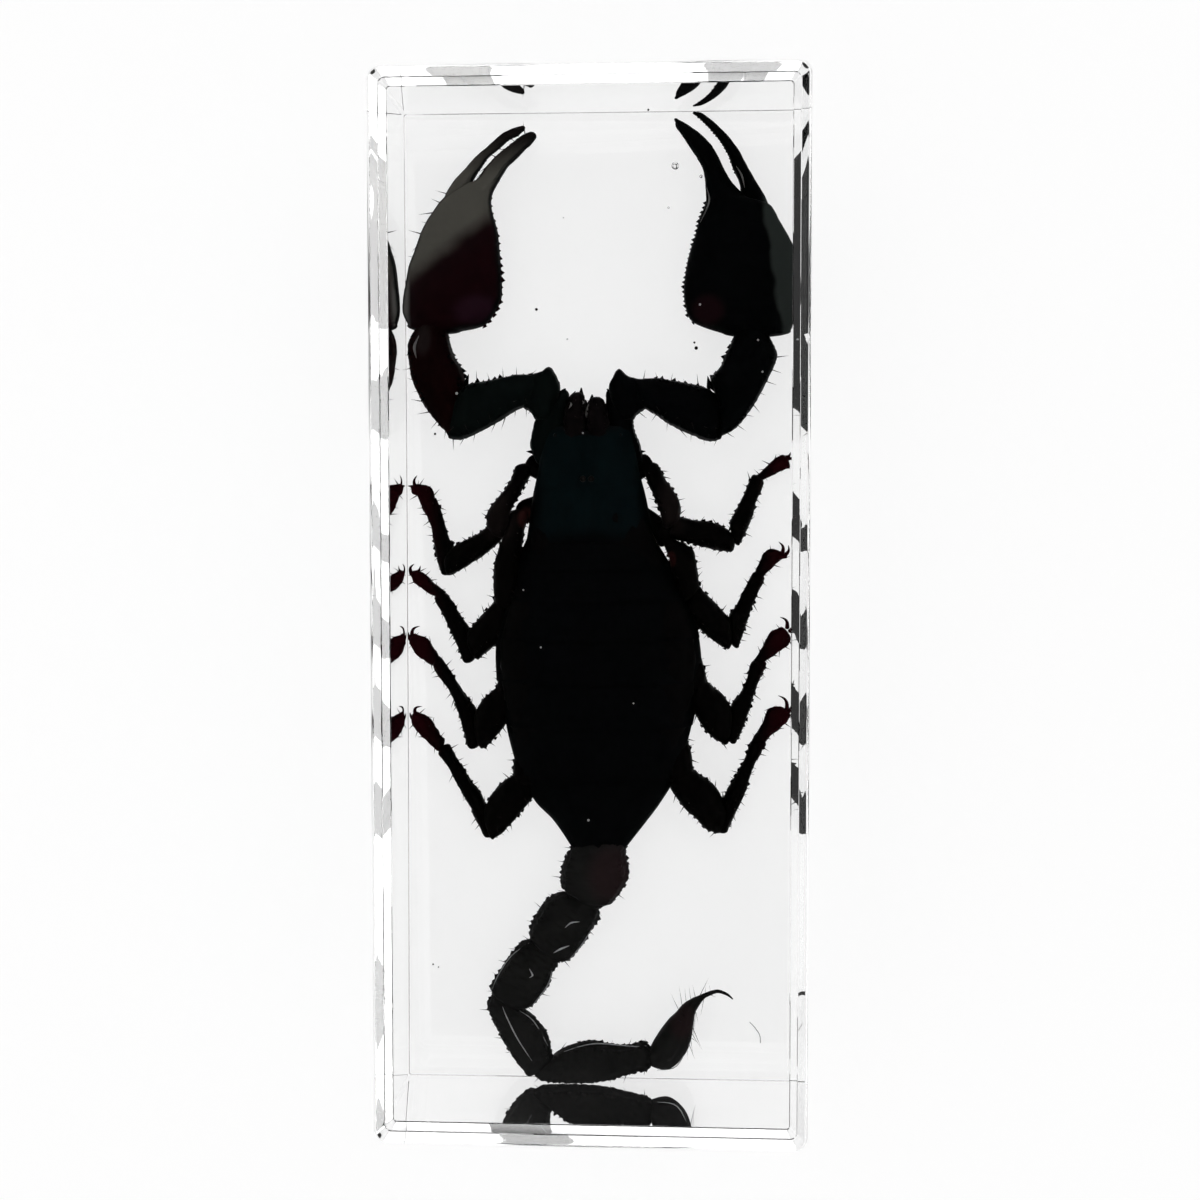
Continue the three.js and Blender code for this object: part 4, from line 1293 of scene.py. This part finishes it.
JOINT_SPINES = ((Vector((-14.9, 24.9, 5.5)), Vector((0.3, 1.0, 0.0)), 0.85),
                (Vector((12.3, 24.7, 5.5)), Vector((-0.2, 1.0, 0.0)), 0.7),
                (Vector((-7.7, 17.0, 4.2)), Vector((-1.0, 0.1, 0.0)), 0.6),
                (Vector((4.6, 17.0, 4.2)), Vector((1.0, 0.1, 0.0)), 0.6))
spine_shells = []
for root, way, length in JOINT_SPINES:
    side = way.normalized()
    rows = []
    for step in range(6):
        part = step / 5
        spot = root - side * 0.5 + side * (length + 0.5) * part
        wide = 0.34 * (1 - part) ** 0.9 + 0.02
        rows.append((spot.x, spot.y, spot.z, wide, wide))
    spine_shells.append(limb_shell(beam_ribs(rows), per_gap=3, around=12, square=2.0))
make_piece("joint_spines", spine_shells, black_arm)

BRISTLE_BROWN = (0.010, 0.007, 0.006, 1)
BRISTLE_DARK = (0.004, 0.003, 0.003, 1)
bristle_finish = cuticle_finish("bristle", BRISTLE_DARK, BRISTLE_BROWN, grain_scale=3000.0, grain_depth=0.2)
leg_guides = []
for label, leg in LEGS.items():
    for segment in ("thigh", "knee", "shin", "foot"):
        for turn in (RIGHT_EDGE, 60, LEFT_EDGE):
            leg_guides.append(line_on(leg[segment], 0.1, 0.95, turn))
grow("bristles_legs", leg_guides, bristle_finish, "bristle", Spacing=0.00080, Height=0.00090,
     Foot=0.00007, Scatter=0.8, Least=0.3, Sides=5, Seed=21)
arm_guides = []
for label in ("thigh_left", "thigh_right"):
    for turn in (RIGHT_EDGE, 120, LEFT_EDGE):
        arm_guides.append(line_on(ARMS[label], 0.05, 0.95, turn))
for label in ("hand_left", "elbow_left", "elbow_right", "trochanter_left", "trochanter_right"):
    arm_guides.append(line_on(ARMS[label], 0.30, 0.95, LEFT_EDGE))
grow("bristles_arms", arm_guides, bristle_finish, "bristle", Spacing=0.0013, Height=0.0015,
     Foot=0.00007, Scatter=0.6, Least=0.4, Sides=5, Seed=22)
jaw_guides = [line_on(jaw[0], 0.5, 1.0, turn)
              for jaw in JAWS.values() for turn in (RIGHT_EDGE, 90, LEFT_EDGE)]
sting_guides = [line_on(STING_BULB, 0.62, 1.0, turn) for turn in (RIGHT_EDGE, 60, 120, LEFT_EDGE)]
sting_guides += [line_on(STING_POINT, 0.0, 0.35, turn, sink=0.0) for turn in (RIGHT_EDGE, 90)]
tail_guides = [line_on(ribs, 0.1, 0.9, turn) for ribs in TAIL.values() for turn in (RIGHT_EDGE, LEFT_EDGE)]
grow("bristles_jaws_and_tail", jaw_guides + tail_guides, bristle_finish, "bristle",
     Spacing=0.0018, Height=0.0011, Foot=0.00006, Scatter=0.5, Least=0.3, Sides=5, Seed=24)
grow("bristles_sting", sting_guides, bristle_finish, "bristle", Spacing=0.00060, Height=0.0022,
     Foot=0.000035, Scatter=0.5, Least=0.4, Sides=5, Seed=25)

# ---------------------------------------------------------------- trapped air and specks
# Thin slivers of air stayed between cuticle and resin, where the tail's links bend, and shine like
# silver. A few round bubbles and specks of dust float in the resin higher up.

SILVER = (0.50, 0.51, 0.52, 1)
SILVER_DULL = (0.07, 0.07, 0.07, 1)
HAZE_AND_HIGHLIGHT = (0.16, 0.155, 0.15, 1)
HAZE_AND_HIGHLIGHT_DULL = (0.03, 0.03, 0.03, 1)
FILM_HALF = 0.07
FILM_LIFT = 0.16


def film_finish(name, bright, dull):
    """Silvery film, broken into bright and dull flecks along its length."""
    made = cuticle_finish(name, dull, bright, grain_scale=2600.0, grain_depth=0.2, mottle_scale=2600.0)
    made.node_tree.nodes["Principled BSDF"].inputs["Specular IOR Level"].default_value = 0.5
    return made


air_film = film_finish("air_film", SILVER, SILVER_DULL)
highlight_and_dull_film = film_finish("highlight_and_dull_air_film", HAZE_AND_HIGHLIGHT, HAZE_AND_HIGHLIGHT_DULL)


def sliver(ribs, route, width):
    """A thin leaf of trapped air, or a painted highlight, on a limb's skin. The route is a list of (along,
    turn in degrees).
    """
    spots = [on_limb(ribs, along, turn, sink=-FILM_LIFT) for along, turn in route]
    rows = []
    for i, (spot, out) in enumerate(spots):
        share = i / (len(spots) - 1)
        wide = width * (0.25 + 0.75 * math.sin(math.pi * share))
        rows.append((spot.x, spot.y, spot.z, wide, FILM_HALF))
    return limb_shell(beam_ribs(rows), per_gap=5, around=12, square=2.0)


slivers = [
    sliver(TAIL["tail_link_2"], ((0.60, 58), (0.68, 70), (0.78, 78)), 0.11),
    sliver(TAIL["tail_link_2"], ((0.30, 70), (0.36, 82), (0.44, 86)), 0.09),
    sliver(TAIL["tail_link_2"], ((0.30, 20), (0.55, 18), (0.80, 20)), 0.06),
    sliver(TAIL["tail_link_3"], ((0.10, 150), (0.35, 158), (0.62, 160), (0.86, 155)), 0.055),
    sliver(TAIL["tail_link_3"], ((0.34, 90), (0.40, 80), (0.46, 84)), 0.10),
    sliver(TAIL["tail_link_3"], ((0.25, 28), (0.50, 24), (0.80, 22)), 0.08),
    sliver(TAIL["tail_link_4"], ((0.12, 95), (0.35, 92), (0.60, 96), (0.85, 90)), 0.07),
    sliver(TAIL["tail_link_4"], ((0.10, 32), (0.40, 22), (0.75, 24)), 0.06),
    sliver(TAIL["tail_link_5"], ((0.15, 26), (0.40, 20), (0.75, 22), (0.92, 30)), 0.07),
    sliver(STING_BULB, ((0.12, 150), (0.40, 158), (0.70, 152)), 0.06),
]
make_piece("tail_air_slivers", slivers, air_film)
# the three grey slivers on the jaws are painted highlights; those on the left elbow, right hand and right
# finger are dull slivers of air
highlight_and_dull_slivers = [
    sliver(JAWS["right"][0], ((0.45, 168), (0.65, 150), (0.95, 146)), 0.15),
    sliver(JAWS["left"][0], ((0.70, 120), (0.80, 112), (0.88, 120)), 0.12),
    sliver(JAWS["left"][0], ((0.80, 50), (0.86, 44), (0.92, 50)), 0.10),
    sliver(ARMS["elbow_left"], ((0.10, 112), (0.22, 120), (0.34, 118)), 0.16),
    sliver(ARMS["hand_right"], ((0.42, 26), (0.50, 34), (0.58, 30)), 0.10),
    sliver(ARMS["hinged_finger_right"], ((0.20, 60), (0.30, 70), (0.38, 66)), 0.10),
]
make_piece("highlight_and_dull_air_slivers", highlight_and_dull_slivers, highlight_and_dull_film)

FILM_DOTS = ((-6.3, -4.8, 9.6, 0.10), (-1.1, -24.3, 8.1, 0.14), (17.7, 29.2, 7.5, 0.12),
             (18.2, 25.7, 7.6, 0.12), (-15.7, 23.4, 8.4, 0.16), (11.3, 33.2, 6.9, 0.13),
             (-1.7, 19.0, 7.6, 0.10), (4.0, -11.0, 9.4, 0.09), (-8.4, 1.5, 7.6, 0.10))
make_piece("air_dots", [bead((x, y, z), radius, flat=0.6, around=12) for x, y, z, radius in FILM_DOTS],
           air_film)

DUST = ((-6.5, 32.3, 12, 0.16), (-17.7, 18.8, 12, 0.13), (10.7, 28.7, 11, 0.12), (10.9, 28.1, 11, 0.2),
        (-18.2, -40.0, 12, 0.10), (-17.6, -40.3, 12, 0.08),
        (5.7, 53.6, 12, 0.12), (16.1, 8.6, 12, 0.08), (-3.4, 41.9, 14, 0.06))
dust_shells = [bead((x, y, z), radius, flat=0.8, around=12) for x, y, z, radius in DUST]
stray_hair = beam_ribs([(16.9, -45.9, 12.0, 0.03, 0.03), (17.5, -46.5, 12.2, 0.035, 0.035),
                        (18.0, -47.3, 12.1, 0.035, 0.035), (18.1, -48.2, 12.0, 0.03, 0.03)])
dust_shells.append(limb_shell(stray_hair, per_gap=5, around=8, square=2.0))
make_piece("dust_specks", dust_shells, bristle_finish)

AIR_IN_RESIN_IOR = 1 / RESIN_IOR
BUBBLES = ((8.6, 47.6, 12.0, 0.42), (11.4, 46.6, 11.0, 0.2), (7.9, 43.0, 13.0, 0.12),
           (-3.0, 28.9, 14.0, 0.10))
bubble_skin = plain_finish("bubble_skin", dict(CLEAR_THROUGH, IOR=AIR_IN_RESIN_IOR))
make_piece("bubbles", [bead((x, y, z), radius, around=24) for x, y, z, radius in BUBBLES],
           bubble_skin)

# ---------------------------------------------------------------- floor, light and camera
# A plain pale floor, lit mostly from itself as a light table is, under a soft studio dome that is
# bright all round and dark overhead, so that the polished top mirrors nothing over the specimen.
# Three pale cards, seen in reflections only, stand where the lip's slopes mirror them to the camera.

FLOOR_DROP = 0.0001
TABLE_GLOW = 0.80
TABLE_TONE = (0.30, 0.30, 0.30, 1)
FLOOR_REACH = 1.5
floor_mesh = bpy.data.meshes.new("floor")
floor_corners = [(x * FLOOR_REACH, y * FLOOR_REACH, -FLOOR_DROP)
                 for x, y in ((-1, -1), (1, -1), (1, 1), (-1, 1))]
floor_mesh.from_pydata(floor_corners, [], [(0, 1, 2, 3)])
floor = bpy.data.objects.new("floor", floor_mesh)
scene.collection.objects.link(floor)
floor_paint = plain_finish("floor_paint", {
    "Base Color": TABLE_TONE, "Roughness": 0.9, "Specular IOR Level": 0.0,
    "Emission Color": (1.0, 1.0, 1.0, 1), "Emission Strength": TABLE_GLOW})
floor_mesh.materials.append(floor_paint)

DOME_STRENGTH = 0.62
DARK_CARD_WAY = Vector((0.06, -0.06, 1.0)).normalized()
DARK_CARD_BANDS = ((0.0, 1.1), (0.84, 1.3), (0.885, 1.2), (0.925, 0.12), (0.95, 0.0), (1.0, 0.0))
dome = bpy.data.worlds.new("studio_dome")
scene.world = dome
dome.use_nodes = True
sky = dome.node_tree.nodes["Background"]
sky.inputs["Strength"].default_value = DOME_STRENGTH
look = dome.node_tree.nodes.new("ShaderNodeTexCoord")
towards_card = add_node(dome.node_tree, "ShaderNodeVectorMath",
                        {0: look.outputs["Generated"], 1: DARK_CARD_WAY}, operation="DOT_PRODUCT")
bands = add_node(dome.node_tree, "ShaderNodeValToRGB", {"Fac": towards_card.outputs["Value"]})
bands.color_ramp.elements.remove(bands.color_ramp.elements[-1])
for i, (height, level) in enumerate(DARK_CARD_BANDS):
    stop = bands.color_ramp.elements.new(height) if i else bands.color_ramp.elements[0]
    stop.position = height
    stop.color = (level, level, level, 1)
dome.node_tree.links.new(bands.outputs["Color"], sky.inputs["Color"])

CARD_AWAY = 0.5
CARD_SOFT_EDGE = 0.16
CARDS = {
    # way out, shift to its left, half width, lower edge and upper edge in metres, strength
    "right_card": (Vector((1, 0, 0)), 0.04, 0.30, 0.06, 0.25, 14.5),
    "far_card": (Vector((0, 1, 0)), -0.05, 0.15, 0.19, 0.39, 12.0),
    "near_card": (Vector((0, -1, 0)), 0.05, 0.15, 0.10, 0.30, 14.5),
}


def card_glow(label, strength):
    """Even light over a card, fading to nothing at its edges."""
    made = plain_finish(label + "_glow", {
        "Base Color": (0.0, 0.0, 0.0, 1), "Specular IOR Level": 0.0, "Emission Color": (1.0, 1.0, 1.0, 1)})
    tree = made.node_tree
    place = tree.nodes.new("ShaderNodeUVMap")
    apart = add_node(tree, "ShaderNodeSeparateXYZ", {0: place.outputs["UV"]})
    level = strength
    for axis in ("X", "Y"):
        for inner in (CARD_SOFT_EDGE, 1 - CARD_SOFT_EDGE):
            fade = soft_step(tree, apart.outputs[axis], round(inner), inner)
            level = add_node(tree, "ShaderNodeMath", {0: fade, 1: level}, operation="MULTIPLY").outputs[0]
    tree.links.new(level, tree.nodes["Principled BSDF"].inputs["Emission Strength"])
    return made


for label, (way, shift, half, low, high, strength) in CARDS.items():
    along = way.cross(Vector((0, 0, 1)))
    corners = [way * CARD_AWAY + along * (shift + half * side) + Vector((0, 0, level))
               for side, level in ((-1, low), (1, low), (1, high), (-1, high))]
    card_mesh = bpy.data.meshes.new(label)
    card_mesh.from_pydata(corners, [], [(0, 1, 2, 3)])
    spread = card_mesh.uv_layers.new(name="spread")
    for loop, corner in zip(spread.data, ((0, 0), (1, 0), (1, 1), (0, 1))):
        loop.uv = corner
    card_mesh.materials.append(card_glow(label, strength))
    card = bpy.data.objects.new(label, card_mesh)
    scene.collection.objects.link(card)
    for rays in ("camera", "diffuse", "transmission", "volume_scatter", "shadow"):
        setattr(card, "visible_" + rays, False)

CAMERA_EYE = Vector((11.61, 11.07, 168.44)) * MM
CAMERA_AIM = Vector((5.05, 5.57, 26.2)) * MM
CAMERA_SENSOR = 36.0
CAMERA_LENS = 41.63
CAMERA_SHIFT = (-0.032, -0.035)
camera_data = bpy.data.cameras.new("camera")
camera_data.sensor_width = CAMERA_SENSOR
camera_data.lens = CAMERA_LENS
camera_data.shift_x, camera_data.shift_y = CAMERA_SHIFT
camera_data.clip_start = 0.001
camera = bpy.data.objects.new("camera", camera_data)
scene.collection.objects.link(camera)
back = (CAMERA_EYE - CAMERA_AIM).normalized()
right = Vector((0, 1, 0)).cross(back).normalized()
up = back.cross(right)
camera.matrix_world = Matrix((
    (right.x, up.x, back.x, CAMERA_EYE.x),
    (right.y, up.y, back.y, CAMERA_EYE.y),
    (right.z, up.z, back.z, CAMERA_EYE.z),
    (0, 0, 0, 1)))
scene.camera = camera

CLEAR_BOUNCES = 32
GLOSSY_BOUNCES = 16
DIFFUSE_BOUNCES = 6
scene.view_settings.view_transform = "Standard"
scene.cycles.max_bounces = CLEAR_BOUNCES
scene.cycles.transmission_bounces = CLEAR_BOUNCES
scene.cycles.glossy_bounces = GLOSSY_BOUNCES
scene.cycles.diffuse_bounces = DIFFUSE_BOUNCES
